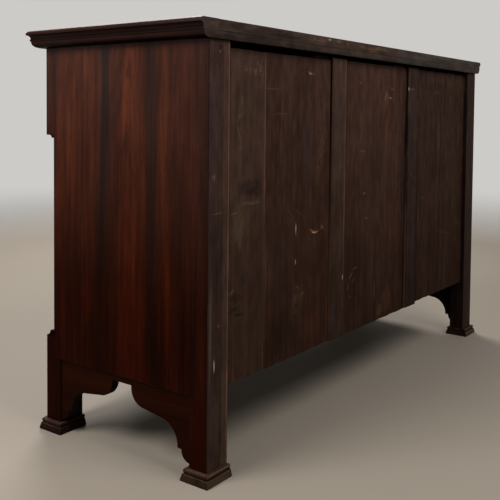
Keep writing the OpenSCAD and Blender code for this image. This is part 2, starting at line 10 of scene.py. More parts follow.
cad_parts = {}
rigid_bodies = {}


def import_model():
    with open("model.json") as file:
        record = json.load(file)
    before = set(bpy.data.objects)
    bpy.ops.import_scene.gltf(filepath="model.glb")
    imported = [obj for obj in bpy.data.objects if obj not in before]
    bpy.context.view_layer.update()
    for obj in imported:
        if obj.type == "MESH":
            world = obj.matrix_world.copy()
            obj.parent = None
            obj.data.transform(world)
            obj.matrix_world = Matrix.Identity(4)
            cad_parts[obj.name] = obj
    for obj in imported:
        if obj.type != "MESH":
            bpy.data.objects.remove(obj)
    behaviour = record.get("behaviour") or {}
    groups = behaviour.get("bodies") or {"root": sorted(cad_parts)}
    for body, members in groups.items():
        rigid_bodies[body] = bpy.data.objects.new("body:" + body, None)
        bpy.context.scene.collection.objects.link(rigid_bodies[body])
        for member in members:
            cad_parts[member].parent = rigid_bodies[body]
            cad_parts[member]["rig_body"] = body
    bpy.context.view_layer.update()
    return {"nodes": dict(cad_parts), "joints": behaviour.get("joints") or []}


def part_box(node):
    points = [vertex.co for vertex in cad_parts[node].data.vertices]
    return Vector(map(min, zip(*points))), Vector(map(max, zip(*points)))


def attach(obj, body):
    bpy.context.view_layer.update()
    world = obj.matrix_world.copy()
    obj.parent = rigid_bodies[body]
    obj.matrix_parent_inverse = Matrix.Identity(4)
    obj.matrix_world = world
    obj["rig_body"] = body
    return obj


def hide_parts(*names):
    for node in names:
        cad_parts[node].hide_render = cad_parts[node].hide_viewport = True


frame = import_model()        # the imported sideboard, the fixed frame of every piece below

# Sizes and places of the carcass, in metres
HALF = 0.7025            # half of its width
BACK = 0.283             # Y of the backs of the posts
FRIEZE = -0.196          # Y of the frieze at the ends
TOP_UNDER = 0.877        # underside of the mouldings of the top
PANEL_FOOT = 0.17        # lower edge of the end panels
FRIEZE_FOOT = 0.674      # lower edge of the frieze
BOARD_JOINT = 0.494      # X of the joint between the two boards of the right bay
BOARDS_BACK, MUNTINS_BACK = 0.271, 0.277
BOW_CENTRE = 3.752889    # Y of the centre of the bow's circles, and their radii
FRIEZE_BOW, DOOR_BOW = 4.010889, 3.985889
FRONT_THICK = 0.02       # of the drawer fronts
LIPPING = 0.03           # how deep the rosewood goes on the edges of the inner boards
HEART = 0.056            # Y of the middle of the end veneer's figure
FLUSH = (0.238, -0.165, -0.1706)      # Y of the upright joints that the end veneer covers

# Sizes and places of the small fittings, in metres
HALF_POSTS = 0.057       # half the distance between a handle's posts
HALF_GAP = 0.00075       # half the gap between a door and its frame
HINGE_HEIGHT = 0.06
LEAF_MIDDLE = 0.0128     # from a hinge's axis to the middle of its leaves
SCREW_PLACES = ((-0.004, 0.01), (0.004, 0.03), (-0.004, 0.05))     # from that middle, and up
SCREW = {"Radius": 0.0028, "Rise": 0.00025}
NUT = {"Radius": 0.0052, "Rise": 0.0026}
NAIL = {"Radius": 0.0022, "Rise": 0.0007}
BEAD = {"Radius": 0.0015, "Sides": 10}
BEAD_STEPS = 16          # points of a bead along the bow
CORNER = 0.003           # points this near each corner keep the bead full there
DRAWER_INSET, DOOR_INSET = 0.002, 0.0075      # from the edge of the front to its bead
# Rows of nails along the rails, the shelves and the two muntins: heights, places along X, and Y
NAIL_ROWS = (
    ((0.2255, 0.8385), (-0.605, -0.5, -0.395, -0.292, -0.165, -0.06, 0.045, 0.132, 0.245, 0.33,
                        0.415, 0.475, 0.51, 0.575, 0.622), BOARDS_BACK),
    ((0.46,), (-0.6, -0.45, -0.3, 0.3, 0.45, 0.53, 0.615), BOARDS_BACK),
    *(((0.2, 0.36, 0.53, 0.7, 0.85), (x,), MUNTINS_BACK) for x in (-0.214, 0.206)))
NAIL_STRAY = (0.007, 0.004)      # how far a nail may be from its place, along X and up

# How the pieces are finished
SHARP = math.radians(27)      # an edge that turns more than this is eased
CREASE = math.radians(46)     # and one that turns more than this then looks sharp
TINY = 2e-6              # corners nearer than this are one
WELD = 3e-4              # shorter edges of the mouldings are dropped
JOINT = 0.0034           # a neighbour nearer than this makes an edge a joint
SAW_STEP, SAW_DEPTH = 0.006, 0.0016      # how often and how far a sawn end wanders


def srgb(colour):
    """Red, green and blue of 0 to 255 as a socket takes them. A socket or tone stays as it is."""
    if not isinstance(colour, tuple) or len(colour) != 3:
        return colour
    parts = [value / 255 for value in colour]
    return (*(v / 12.92 if v <= 0.04045 else ((v + 0.055) / 1.055) ** 2.4 for v in parts), 1.0)


def shade(tone):
    """A tone, given as one number or as red, green and blue, as a socket takes it."""
    if isinstance(tone, (int, float)):
        tone = (tone, tone, tone)
    return (*tone, 1) if isinstance(tone, tuple) else tone


# Light, middle and dark tones of the rosewood at the top, and the painted shade that darkens them
# towards the floor
ROSEWOOD = (68, 32, 18), (50, 24, 15), (26, 14, 11)
MOULDED = (36, 17, 12), (27, 13, 10), (17, 9, 8)
APRONS = (62, 38, 30), (55, 33, 26), (47, 28, 22)
FLOOR_SHADE, FOOT_FLOOR_SHADE, DOOR_FLOOR_SHADE = (0.37, 0.19, 0.09), (0.95, 0.95, 0.95), (0.75, 0.65, 0.6)
# Light and dark tones of the inside
INSIDE = (124, 93, 63), (88, 63, 42)
DRAWERS = (140, 110, 76), (108, 80, 54)
# Colours of the marks
PALE = (104, 88, 76)
WHITE = (190, 178, 164)
ORANGE = (136, 84, 56)
STAIN = (22, 13, 9)
GREY = (52, 46, 44)
RED = (62, 30, 20)
TAN = (78, 55, 38)

# Marks on the back: x and z of the middle, half width and half height in mm, colour, amount,
# and the tilt in degrees where there is one
RIGHT_MARKS = [
    (552, 822, 36, 9, PALE, 0.5, 8), (524, 832, 14, 13, PALE, 0.5),
    (313, 828, 17, 3.5, PALE, 0.5, 8), (318, 827, 7, 1.6, WHITE, 0.55, 8),
    (468, 787, 38, 1.5, PALE, 0.25), (436, 733, 42, 1.5, PALE, 0.25), (585, 715, 13, 90, PALE, 0.3),
    (497, 660, 2.4, 205, (110, 84, 72), 0.4), (492, 400, 2.4, 150, (96, 76, 64), 0.3),
    (546, 578, 46, 24, STAIN, 0.65), (528, 566, 32, 13, STAIN, 0.5), (543, 545, 42, 4, PALE, 0.25),
    (590, 500, 18, 60, (84, 72, 54), 0.4), (566, 386, 22, 20, (32, 26, 24), 0.6),
    (596, 352, 26, 12, STAIN, 0.6, 12), (600, 330, 26, 5, STAIN, 0.8, -12),
    (585, 316, 26, 4.5, STAIN, 0.75, 8), (612, 366, 12, 3, PALE, 0.35, -25),
    (585, 340, 18, 8, RED, 0.5, -15), (372, 470, 1.8, 16, WHITE, 0.75),
    (372, 395, 1.5, 8, WHITE, 0.65), (302, 459, 13, 2.6, ORANGE, 0.9, 24),
    (286, 454, 13, 2.8, ORANGE, 0.9, -6), (293, 454, 12, 2.0, WHITE, 0.5, 4),
    (256, 463, 11, 4, ORANGE, 0.45, -30), (260, 467, 3, 7, PALE, 0.5),
    (394, 508, 20, 1.4, PALE, 0.22, 42), (280, 700, 34, 150, (66, 45, 36), 0.35),
    (374, 300, 8, 50, PALE, 0.28), (628, 205, 3.0, 24, ORANGE, 0.6, -4),
    (608, 528, 20, 2.2, PALE, 0.35, -4), (300, 230, 60, 60, RED, 0.3),
    (262, 690, 24, 190, PALE, 0.22), (328, 640, 30, 120, (50, 38, 38), 0.4),
    (372, 513, 34, 1.4, PALE, 0.22, 28), (358, 318, 24, 26, TAN, 0.3, 20),
    (430, 250, 70, 60, STAIN, 0.5), (362, 335, 9, 2, PALE, 0.4, 30),
    (344, 316, 8, 2, PALE, 0.4, -20), (420, 400, 60, 120, STAIN, 0.16),
]
CENTRE_MARKS = [
    (-70, 772, 18, 42, TAN, 0.5, 24), (-74, 790, 10, 20, (108, 86, 52), 0.42, 28),
    (-98, 781, 6, 3, WHITE, 0.55, 10), (-80, 690, 20, 70, (92, 58, 44), 0.25, 8),
    (-92, 610, 12, 80, TAN, 0.35, 4), (0, 640, 46, 170, STAIN, 0.3), (60, 640, 18, 2.4, PALE, 0.5),
    (48, 528, 9, 3, PALE, 0.5), (34, 463, 9, 3, PALE, 0.45), (72, 815, 8, 3.5, PALE, 0.4),
    (112, 322, 16, 2.4, PALE, 0.5, -40), (90, 338, 14, 2.2, PALE, 0.45, -10),
    (124, 296, 12, 2.2, PALE, 0.45, -65), (96, 310, 12, 2.0, PALE, 0.4, -50),
    (116, 268, 8, 2.0, PALE, 0.4, 40), (-19, 262, 2.4, 30, PALE, 0.5),
    (-92, 225, 30, 40, (84, 48, 38), 0.3), (-52, 200, 22, 18, TAN, 0.5),
    (-108, 806, 22, 3, PALE, 0.4, 10), (-120, 420, 60, 150, RED, 0.2),
    (-150, 560, 22, 260, PALE, 0.14),
]
LEFT_MARKS = [
    (-419, 805, 22, 6, PALE, 0.3), (-432, 680, 14, 110, PALE, 0.2),
    (-580, 480, 50, 110, (52, 40, 22), 0.5), (-319, 489, 9, 3, PALE, 0.4),
    (-400, 822, 110, 22, STAIN, 0.35), (-470, 370, 70, 6, PALE, 0.18, 12),
    (-292, 440, 3, 40, PALE, 0.3),
]
POST_MARKS = [
    (668, 863, 4.5, 6.5, (8, 5, 4), 1.0), (669, 853, 2.0, 2.8, PALE, 0.9),
    (676, 535, 24, 1.8, PALE, 0.42, -2), (668, 311, 3, 3, ORANGE, 0.5),
    (681, 234, 2.0, 14, WHITE, 0.75), (694, 300, 4, 110, PALE, 0.35),
    (682, 740, 14, 90, (60, 46, 50), 0.5), (655, 330, 12, 70, RED, 0.15),
    (684, 606, 3, 8, PALE, 0.6), (690, 606, 2, 7, PALE, 0.5), (678, 450, 34, 130, STAIN, 0.45),
    (672, 120, 20, 60, (66, 52, 46), 0.45), (660, 80, 10, 22, STAIN, 0.5),
    (690, 60, 7, 26, STAIN, 0.45), (639, 205, 2.5, 14, ORANGE, 0.6),
]
MUNTIN_MARKS = [
    (165, 328, 2.2, 8, WHITE, 0.7), (162, 490, 2.4, 300, (106, 84, 70), 0.55),
    (209, 238, 13, 34, (40, 38, 42), 0.8), (205, 680, 14, 130, (62, 50, 52), 0.4),
    (178, 420, 10, 90, (70, 50, 42), 0.35), (222, 560, 4, 160, STAIN, 0.2),
    (-234, 240, 60, 120, STAIN, 0.65), (-234, 760, 30, 110, (58, 44, 40), 0.4),
    (-202, 809, 3, 7, WHITE, 0.8), (-222, 809, 22, 2.6, PALE, 0.55),
    (-232, 560, 24, 8, PALE, 0.25, 25),
]
TOP_MARKS = [
    (298, 904, 26, 6, (100, 68, 56), 0.55), (262, 909, 8, 3.0, WHITE, 0.4),
    (330, 906, 22, 5, (96, 76, 66), 0.5), (218, 908, 13, 4, PALE, 0.6),
    (362, 905, 20, 5.5, PALE, 0.4), (176, 904, 9, 5, ORANGE, 0.35),
    (100, 905, 22, 6, (84, 80, 60), 0.6), (44, 903, 34, 8, (98, 68, 52), 0.6),
    (16, 908, 14, 4, (120, 96, 70), 0.5), (-16, 905, 28, 6, (80, 78, 64), 0.55),
    (450, 900, 70, 7, STAIN, 0.7), (560, 896, 60, 6, STAIN, 0.5, 2), (620, 905, 34, 8, STAIN, 0.6),
    (-300, 902, 80, 6, GREY, 0.3), (-520, 900, 60, 6, (66, 60, 56), 0.5),
]

# Painted shade in the hollows and under each member, and painted highlights on the upper edges, of
# the mouldings and feet: a tone for each height in millimetres
TOP_LIGHT_AND_SHADE = [
    (875, 1.0), (877.4, 0.15), (881, 0.18), (883.5, 1.1), (889, 1.0), (891.5, 0.7), (894.5, 0.2),
    (898, 0.2), (899.5, 1.4), (904, 1.1), (905.5, 0.6), (911, 0.65), (913.4, 2.6), (915.2, 1.0)]
FOOT_LIGHT_AND_SHADE = [
    (0, 0.7), (2, 1.0), (12.5, 1.0), (14.2, 1.7), (14.9, 1.0), (15.6, 0.12), (17.8, 0.12),
    (18.8, 1.3), (21.5, 1.1), (23.2, 1.3), (24.3, 2.4), (26, 1.0)]
TURN = {"x": (0, math.radians(90), 0), "y": (math.radians(90), 0, 0)}


class Tree:
    """Adds nodes to a node tree and links every input that is given as a socket."""

    def __init__(self, tree):
        self.tree = tree

    def join(self, value, socket):
        self.tree.links.new(value, socket)

    def give(self, sockets, **values):
        """Links each value to the socket of its name."""
        for name, value in values.items():
            self.join(value, sockets[name.replace("_", " ")])

    def add(self, kind, inputs=None, out=0, **settings):
        node = self.tree.nodes.new(kind)
        for name, value in settings.items():
            setattr(node, name, value)
        for name, value in (inputs or {}).items():
            if isinstance(value, bpy.types.NodeSocket):
                self.join(value, node.inputs[name])
            else:
                node.inputs[name].default_value = value
        return node if out is None else node.outputs[out]

    def group(self, tree, inputs):
        return self.add("ShaderNodeGroup", inputs, None, node_tree=tree).outputs

    def math(self, operation, a, b=0.0):
        return self.add("ShaderNodeMath", {0: a, 1: b}, operation=operation)

    def plus(self, a, b):
        return self.math("ADD", a, b)

    def minus(self, a, b):
        return self.math("SUBTRACT", a, b)

    def times(self, a, b):
        return self.math("MULTIPLY", a, b)

    def around(self, value, reach):
        """A value from 0 to 1, made to swing about nought."""
        return self.times(self.minus(value, 0.5), reach)

    def xyz(self, x, y, z):
        return self.add("ShaderNodeCombineXYZ", {0: x, 1: y, 2: z})

    def parts(self, vector):
        return self.add("ShaderNodeSeparateXYZ", {0: vector}, None).outputs

    def vector(self, operation, a, b=(0, 0, 0)):
        out = "Value" if operation == "LENGTH" else 0
        return self.add("ShaderNodeVectorMath", {0: a, 1: b}, out, operation=operation)

    def stretch(self, vector, by):
        return self.vector("MULTIPLY", vector, by)

    def span(self, value, low, high, to_low=0.0, to_high=1.0):
        return self.add("ShaderNodeMapRange", {
            "Value": value, "From Min": low, "From Max": high, "To Min": to_low, "To Max": to_high})

    def noise(self, vector, scale, detail=2.0, out="Fac"):
        """Noise of one scale, or of another scale along each axis."""
        if isinstance(scale, tuple):
            vector, scale = self.stretch(vector, scale), 1.0
        return self.add("ShaderNodeTexNoise", {
            "Vector": vector, "Scale": scale, "Detail": detail}, out)

    def ramp(self, value, stops):
        node = self.add("ShaderNodeValToRGB", {"Fac": value}, None)
        bar = node.color_ramp.elements
        while len(bar) < len(stops):
            bar.new(0.5)
        for element, (position, colour) in zip(bar, stops):
            element.position = position
            element.color = srgb(colour)
        return node.outputs["Color"]

    def mix(self, factor, a, b, blend="MIX"):
        return self.add("ShaderNodeMix", {0: factor, 6: srgb(a), 7: srgb(b)}, 2,
                        data_type="RGBA", blend_type=blend)

    def laid(self, colour, over, mask, share):
        """The colour with a share of another over it where the mask is."""
        return self.mix(self.times(mask, share), colour, over)

    def tinted(self, colour, tone):
        return self.mix(1.0, colour, shade(tone), "MULTIPLY")

    def toned(self, colour, value, dark, light):
        """The colour made darker and lighter by a value from 0 to 1."""
        return self.tinted(colour, self.mix(value, shade(dark), shade(light)))

    def shaded_by_height(self, colour, z, light_shade_levels):
        """The colour times a tone of painted light or shade for each height, which is given in
        millimetres.
        """
        if not light_shade_levels:
            return colour
        low, high = light_shade_levels[0][0], light_shade_levels[-1][0]
        stops = [((height - low) / (high - low), shade(tone)) for height, tone in light_shade_levels]
        return self.tinted(colour, self.ramp(self.span(z, low / 1000, high / 1000), stops))

    def bump(self, height, depth, strength=0.5):
        return self.add("ShaderNodeBump", {
            "Height": height, "Distance": depth, "Strength": strength})

    def object_place(self):
        return self.add("ShaderNodeTexCoord", out="Object")


def new_group(name, inputs, outputs, kind="ShaderNodeTree"):
    """An empty node group: its tree, and the sockets inside it.

    An input is given by its type, or by the number that it has where nothing else is set.
    """
    tree = bpy.data.node_groups.new(name, kind)
    for side, sockets in (("INPUT", inputs), ("OUTPUT", outputs)):
        for socket, value in sockets.items():
            form = value if isinstance(value, str) else {float: "Float", int: "Int"}[type(value)]
            made = tree.interface.new_socket(socket, in_out=side, socket_type="NodeSocket" + form)
            if form != value:
                made.default_value = value
    enter = tree.nodes.new("NodeGroupInput").outputs
    leave = tree.nodes.new("NodeGroupOutput").inputs
    return Tree(tree), enter, leave


def grain_group():
    """Grain that runs up its Vector: streaks, broad bands, cloudy blotches and pores."""
    t, given, made = new_group(
        "wood grain",
        {"Vector": "Vector", "Across": 120.0, "Along": 4.0, "Warp": 0.012, "Seed": 0.0},
        dict.fromkeys(("Lines", "Bands", "Blotches", "Pores", "Height"), "Float"))
    seed = given["Seed"]
    shift = t.xyz(seed, t.times(seed, 0.7), t.times(seed, 1.3))
    place = t.vector("ADD", given["Vector"], shift)
    slow = t.noise(place, (4, 4, 1.2), 2.0, "Color")
    quick = t.noise(place, (17, 17, 3.5), 2.0, "Color")
    half = (0.5, 0.5, 0.5)
    drift = t.vector("ADD", t.vector("SUBTRACT", slow, half),
                     t.stretch(t.vector("SUBTRACT", quick, half), (0.22, 0.22, 0)))
    drift = t.add("ShaderNodeVectorMath", {0: t.stretch(drift, (1, 1, 0)), "Scale": given["Warp"]},
                  operation="SCALE")
    bent = t.vector("ADD", place, drift)
    drawn = t.stretch(bent, t.xyz(given["Across"], given["Across"], given["Along"]))
    lines = t.span(t.noise(drawn, 1.0, 5.0), 0.34, 0.66)
    broad = t.noise(drawn, (0.2, 0.2, 0.3), 3.0)
    cloud = t.noise(place, 5.5, 4.0)
    pores = t.span(t.noise(bent, (1000, 1000, 70), 1.0), 0.6, 0.7)
    t.give(made, Lines=lines, Bands=t.span(broad, 0.34, 0.66), Blotches=t.span(cloud, 0.34, 0.68),
           Pores=pores, Height=t.minus(t.times(lines, 0.6), t.times(pores, 0.8)))
    return t.tree


def wear_group():
    """What the eased edges carry: rubbed places on the corners, dirt and painted shade in hollows
    and joints.
    """
    t, given, made = new_group(
        "worn edges", {"Vector": "Vector", "Amount": 0.5, "Grain Size": 90.0},
        {"Mask": "Float", "Dirt": "Float"})
    edge = t.add("ShaderNodeAttribute", out="Fac", attribute_name="worn")
    patch = t.noise(given["Vector"], given["Grain Size"], 3.0)
    limit = t.minus(0.78, t.times(given["Amount"], 0.5))
    shown = t.span(t.minus(patch, limit), 0.0, 0.14)
    t.give(made, Mask=t.times(t.math("MAXIMUM", edge, 0.0), shown),
           Dirt=t.math("MAXIMUM", t.times(edge, -1.0), 0.0))
    return t.tree


def mark_group():
    """One mark on a board: smeared strokes within an ellipse, with a ragged rim."""
    t, given, made = new_group(
        "mark", {"Vector": "Vector", "Centre": "Vector", "Size": "Vector", "Tilt": "Vector",
                 "Ragged": 0.9, "Flecks": 0.0}, {"Mask": "Float"})
    local = t.add("ShaderNodeMapping", {
        "Vector": given["Vector"], "Location": given["Centre"], "Rotation": given["Tilt"],
        "Scale": given["Size"]}, vector_type="TEXTURE")
    flat = t.stretch(local, (1, 0, 1))
    apart = t.stretch(given["Centre"], (37, 37, 37))
    rim = t.noise(t.vector("ADD", t.stretch(flat, (1.7, 1, 1.7)), apart), 1.0, 4.0)
    rough = t.around(rim, t.times(given["Ragged"], 3.0))
    inside = t.span(t.plus(t.vector("LENGTH", flat), rough), 1.0, 0.45)
    strokes = t.span(t.noise(flat, (5, 1, 2), 3.0), 0.3, 0.6, 0.35, 1.0)
    flecks = t.span(t.noise(given["Vector"], (330, 330, 110), 3.0), 0.42, 0.62)
    flecks = t.math("POWER", flecks, given["Flecks"])
    t.give(made, Mask=t.times(t.times(inside, strokes), flecks))
    return t.tree


def flame_group():
    """Arched figure of a veneer cut near the heart: rings that point up, and where they fade."""
    t, given, made = new_group(
        "arched figure",
        {"Vector": "Vector", "Centre": 0.0, "Half Width": 0.05, "Rings": 30.0, "Slope": 0.2},
        {"Rings": "Float", "Heart": "Float"})
    place = given["Vector"]
    x, _, z = t.parts(place)
    x = t.plus(x, t.around(t.noise(place, (3, 3, 2.2), 2.0), 0.05))
    side = t.math("DIVIDE", t.minus(x, given["Centre"]), given["Half Width"])
    squared = t.times(side, side)
    rise = t.plus(z, t.times(squared, given["Slope"]))
    rise = t.plus(rise, t.times(t.noise(place, (26, 26, 5), 4.0), 0.16))
    wave = t.math("SINE", t.times(rise, t.times(given["Rings"], 6.28)))
    heart = t.span(squared, 1.4, 0.0)
    t.give(made, Rings=t.times(t.span(wave, -0.4, 1.0), heart), Heart=heart)
    return t.tree


GRAIN = grain_group()
WEAR = wear_group()
MARK = mark_group()
FLAME = flame_group()


def new_material(name, shader):
    """A material with a Principled BSDF whose plain values are set on its own sockets."""
    material = bpy.data.materials.new(name)
    material.use_nodes = True
    material.node_tree.nodes.clear()
    t = Tree(material.node_tree)
    bsdf = t.add("ShaderNodeBsdfPrincipled", shader, None)
    t.add("ShaderNodeOutputMaterial", {"Surface": bsdf.outputs[0]}, None)
    return material, t, bsdf.inputs


def grained(t, axis, across, along, warp, seed):
    """Object coordinates, the same turned so that the grain runs up, and the grain."""
    place = turned = t.object_place()
    if axis in TURN:
        turned = t.add("ShaderNodeMapping", {"Vector": place, "Rotation": TURN[axis]})
    made = t.group(GRAIN, {
        "Vector": turned, "Across": across, "Along": along, "Warp": warp, "Seed": seed})
    return place, turned, made


def edges_of(t, place, colour, amount, size, rubbed_tint, share, dirt=0.7):
    """The colour with its rubbed corners, and its hollows and joints darkened by dirt and painted
    shade.
    """
    edge = t.group(WEAR, {"Vector": place, "Amount": amount, "Grain Size": size})
    colour = t.laid(colour, rubbed_tint, edge["Mask"], share)
    return t.laid(colour, (14, 8, 7), edge["Dirt"], dirt), edge["Mask"]


def rosewood(name, axis, tones, seed, low=FLOOR_SHADE, coat=0.22, wear=0.4, streaks=1.0, flame=None,
             veneer=False, light_shade_levels=()):
    """Polished rosewood. Its tones are those at the top; low is the painted shade that darkens them
    towards the floor.
    """
    light, mid, dark = tones
    material, t, bsdf = new_material(name, {"Specular IOR Level": 0.01, "Coat Roughness": 0.34})
    place, turned, grain = grained(t, axis, 110.0, 3.0, 0.03, seed)
    z = t.parts(place)["Z"]
    blotches = grain["Blotches"]
    if veneer:
        colour = end_veneer(t, place)
    else:
        colour = t.ramp(grain["Bands"], [(0.1, dark), (0.5, mid), (0.95, light)])
    if flame:
        figure = t.group(FLAME, dict(flame, Vector=turned))
        colour = t.laid(colour, light, figure["Heart"], 0.6)
        colour = t.laid(colour, dark, figure["Rings"], 0.45)
    swing = 0.24 * streaks
    colour = t.toned(colour, grain["Lines"], (1 - swing, 1 - 1.1 * swing, 1 - 1.2 * swing),
                     (1 + swing, 1 + 0.9 * swing, 1 + 0.8 * swing))
    colour = t.toned(colour, grain["Pores"], 1, (0.62, 0.58, 0.56))
    # Painted shade: darker and redder towards the floor, with a painted grey sheen at the top
    colour = t.shaded_by_height(colour, t.plus(z, t.times(blotches, 0.05)), [
        (80, low), (340, tuple(v ** 0.93 for v in low)), (500, tuple(v ** 0.55 for v in low)),
        (900, (1.06, 1.1, 1.13))])
    # Painted highlights and shade by height, where a finish has them
    colour = t.shaded_by_height(colour, z, light_shade_levels)
    pale = t.mix(0.35, t.tinted(colour, (2.3, 2.2, 2.1)), (74, 52, 42))
    colour, rubbed = edges_of(t, place, colour, wear, 90.0, pale, 0.75)
    rough = t.plus(t.span(blotches, 0, 1, 0.36, 0.52), t.times(grain["Lines"], 0.06))
    haze = t.ramp(t.span(z, 0.25, 0.85), [
        (0.0, shade(0.06)), (0.2, shade(0.12)), (0.42, shade(0.5)), (1.0, shade(1))])
    shine = t.times(t.times(haze, coat), t.span(blotches, 0, 1, 1.0, 0.6))
    t.give(bsdf, Base_Color=colour, Roughness=t.plus(rough, t.times(rubbed, 0.2)),
           Coat_Weight=shine, Normal=t.bump(grain["Height"], 0.00025))
    return material


def end_veneer(t, place):
    """The near end's figure: upright bands between its back edge and the frieze."""
    _, y, z = t.parts(place)
    # The bands spread a little from the heart as they go down
    across = t.times(t.minus(y, HEART), t.span(z, 0.1, TOP_UNDER, 0.78, 1.0))
    across = t.plus(across, t.around(t.noise(place, (3, 4, 2.1), 2.0), 0.030))
    across = t.plus(across, t.around(t.noise(place, (30, 60, 3.2), 3.0), 0.020))
    across = t.plus(across, HEART)
    red, shadow, stripe = (61, 30, 20), (40, 23, 18), (30, 19, 17)
    bands = t.ramp(t.span(across, FRIEZE, BACK), [
        (0.0, (54, 27, 18)), (0.07, (44, 22, 16)), (0.11, red), (0.19, (62, 31, 20)),
        (0.27, (55, 28, 19)), (0.33, (58, 29, 19)), (0.373, (46, 26, 19)),
        (0.387, stripe), (0.411, stripe), (0.43, (50, 27, 19)), (0.48, (58, 29, 19)),
        (0.545, (73, 36, 22)), (0.62, red), (0.662, shadow), (0.69, shadow),
        (0.725, (54, 27, 18)), (0.748, (62, 32, 18)), (0.79, (48, 25, 18)),
        (0.86, (56, 29, 20)), (0.93, (46, 23, 16)), (1.0, (30, 16, 12))])
    # Towards the frieze they are more even lower down
    lower = t.times(t.span(z, 0.62, 0.36), t.span(y, 0.06, 0.03))
    bands = t.laid(bands, (52, 27, 18), lower, 0.42)
    # Streaks, the shimmer of the figure, and soft clouds
    for scale, detail, low, high, dark, light in (
            ((60, 105, 5.5), 4.0, 0.3, 0.7, (0.8, 0.78, 0.78), (1.2, 1.18, 1.16)),
            ((90, 260, 24), 3.0, 0.32, 0.68, (0.88, 0.87, 0.87), (1.13, 1.12, 1.1)),
            ((8, 16, 6.0), 3.0, 0.34, 0.66, (0.78, 0.76, 0.76), (1.22, 1.2, 1.15))):
        bands = t.toned(bands, t.span(t.noise(place, scale, detail), low, high), dark, light)
    arch = t.add("ShaderNodeMapping", {"Vector": place, "Rotation": (0, 0, math.radians(-90))})
    figure = t.group(FLAME, {"Vector": arch, "Centre": HEART, "Rings": 11.0})
    bands = t.laid(bands, (36, 19, 15), figure["Rings"], t.times(t.span(z, 0.25, 0.6), 0.34))
    # Warm and dark patches: height and depth of the middle, half width and half height
    for height, depth, half_w, half_h, tint, amount in (
            (0.755, 0.058, 0.016, 0.085, (94, 47, 24), 0.6),
            (0.700, 0.046, 0.009, 0.05, (86, 43, 23), 0.4),
            (0.835, -0.062, 0.011, 0.05, (88, 45, 26), 0.45),
            (0.78, -0.107, 0.012, 0.045, (82, 42, 24), 0.4),
            (0.32, -0.06, 0.024, 0.055, (88, 38, 16), 0.35),
            (0.62, 0.166, 0.010, 0.14, (84, 44, 22), 0.2),
            (0.36, 0.178, 0.011, 0.13, (92, 46, 20), 0.26),
            (0.30, 0.075, 0.055, 0.08, (74, 35, 20), 0.4),
            (0.28, -0.006, 0.020, 0.08, (30, 14, 10), 0.45),
            (0.29, 0.138, 0.018, 0.13, (27, 14, 11), 0.4),
            (0.815, 0.062, 0.0032, 0.013, (22, 12, 9), 0.8)):
        patch = t.group(MARK, {"Vector": arch, "Centre": (depth, -HALF, height),
                               "Size": (half_w, 1.0, half_h), "Ragged": 0.5})["Mask"]
        bands = t.laid(bands, tint, patch, amount)
    # Painted shade on the lower part of the front leg
    leg_in_shade = t.times(t.span(y, -0.1475, -0.151), t.span(z, 0.4, 0.22))
    return t.mix(leg_in_shade, bands, t.tinted(bands, (0.5, 0.5, 0.46)))


def aged(name, axis, top, low, seed, marks=(), contrast=1.0, haze=0.25, wear=0.5, strips=(),
         rubbed_tint=(72, 55, 45), light_shade_levels=(), dirt=0.7):
    """Unpolished wood dark with age, its colour above and below, darker below partly as painted
    shade, with its marks.
    """
    material, t, bsdf = new_material(name, {"Specular IOR Level": 0.05})
    place, turned, grain = grained(t, axis, 75.0, 2.0, 0.02, seed)
    x, _, z = t.parts(place)
    # Painted shade: the colour goes from top to low, darker towards the floor
    height = t.plus(z, t.around(grain["Blotches"], 0.3))
    colour = t.mix(t.span(height, 0.2, 0.86), low, top)
    # Upright strips of another colour, each from one X to another with soft sides; the near-black
    # ones beside the muntins are painted shade, partly dirt
    for x0, x1, tint, amount in strips:
        edge = t.plus(x, t.around(grain["Bands"], 0.006))
        inside = t.times(t.span(edge, x0 - 0.002, x0 + 0.002),
                         t.span(edge, x1 + 0.002, x1 - 0.002))
        inside = t.times(inside, t.span(grain["Blotches"], 0.1, 0.6, 0.5, 1.0))
        colour = t.laid(colour, tint, inside, amount)
    swing = 0.09 * contrast
    colour = t.toned(colour, grain["Bands"], 1 - swing, 1 + swing)
    swing = 0.12 * contrast
    colour = t.toned(colour, grain["Lines"], (1 - swing, 1 - 1.1 * swing, 1 - 1.2 * swing),
                     1 + swing)
    mottle = t.noise(turned, (60, 60, 22), 5.0)
    colour = t.toned(colour, t.span(mottle, 0.32, 0.68), (0.84, 0.82, 0.8), (1.18, 1.17, 1.16))
    colour = t.toned(colour, grain["Pores"], 1, (0.7, 0.66, 0.64))
    dust = t.times(t.span(mottle, 0.45, 0.7), t.span(height, 0.3, 0.9, 0.05, haze))
    colour = t.mix(dust, colour, (72, 57, 49))
    scuffs = t.span(t.noise(turned, (150, 150, 9), 3.0), 0.62, 0.72)
    where = t.span(t.noise(t.vector("ADD", turned, (3, 1, 7)), 6.0, 3.0), 0.5, 0.62)
    colour = t.laid(colour, (88, 70, 58), t.times(scuffs, where), 0.35)
    for mark_x, mark_z, half_w, half_h, tint, amount, *tilt in marks:
        spot = t.group(MARK, {
            "Vector": place, "Centre": (mark_x / 1000, BACK, mark_z / 1000),
            "Size": (half_w / 1000, 1.0, half_h / 1000), "Tilt": (0, math.radians(-sum(tilt)), 0),
            "Ragged": 0.4 if tint in (STAIN, WHITE) else 0.9,
            "Flecks": 1.0 if tint == PALE and min(half_w, half_h) > 5 else 0.0})["Mask"]
        colour = t.laid(colour, tint, spot, amount)
    colour = edges_of(t, place, colour, wear, 60.0, rubbed_tint, 0.6, dirt)[0]
    rough = t.plus(grain["Height"], t.times(mottle, 0.8))
    # Painted highlights and shade by height, where a finish has them
    t.give(bsdf, Base_Color=t.shaded_by_height(colour, z, light_shade_levels),
           Roughness=t.span(grain["Lines"], 0, 1, 0.85, 0.66), Normal=t.bump(rough, 0.0006, 0.6))
    return material


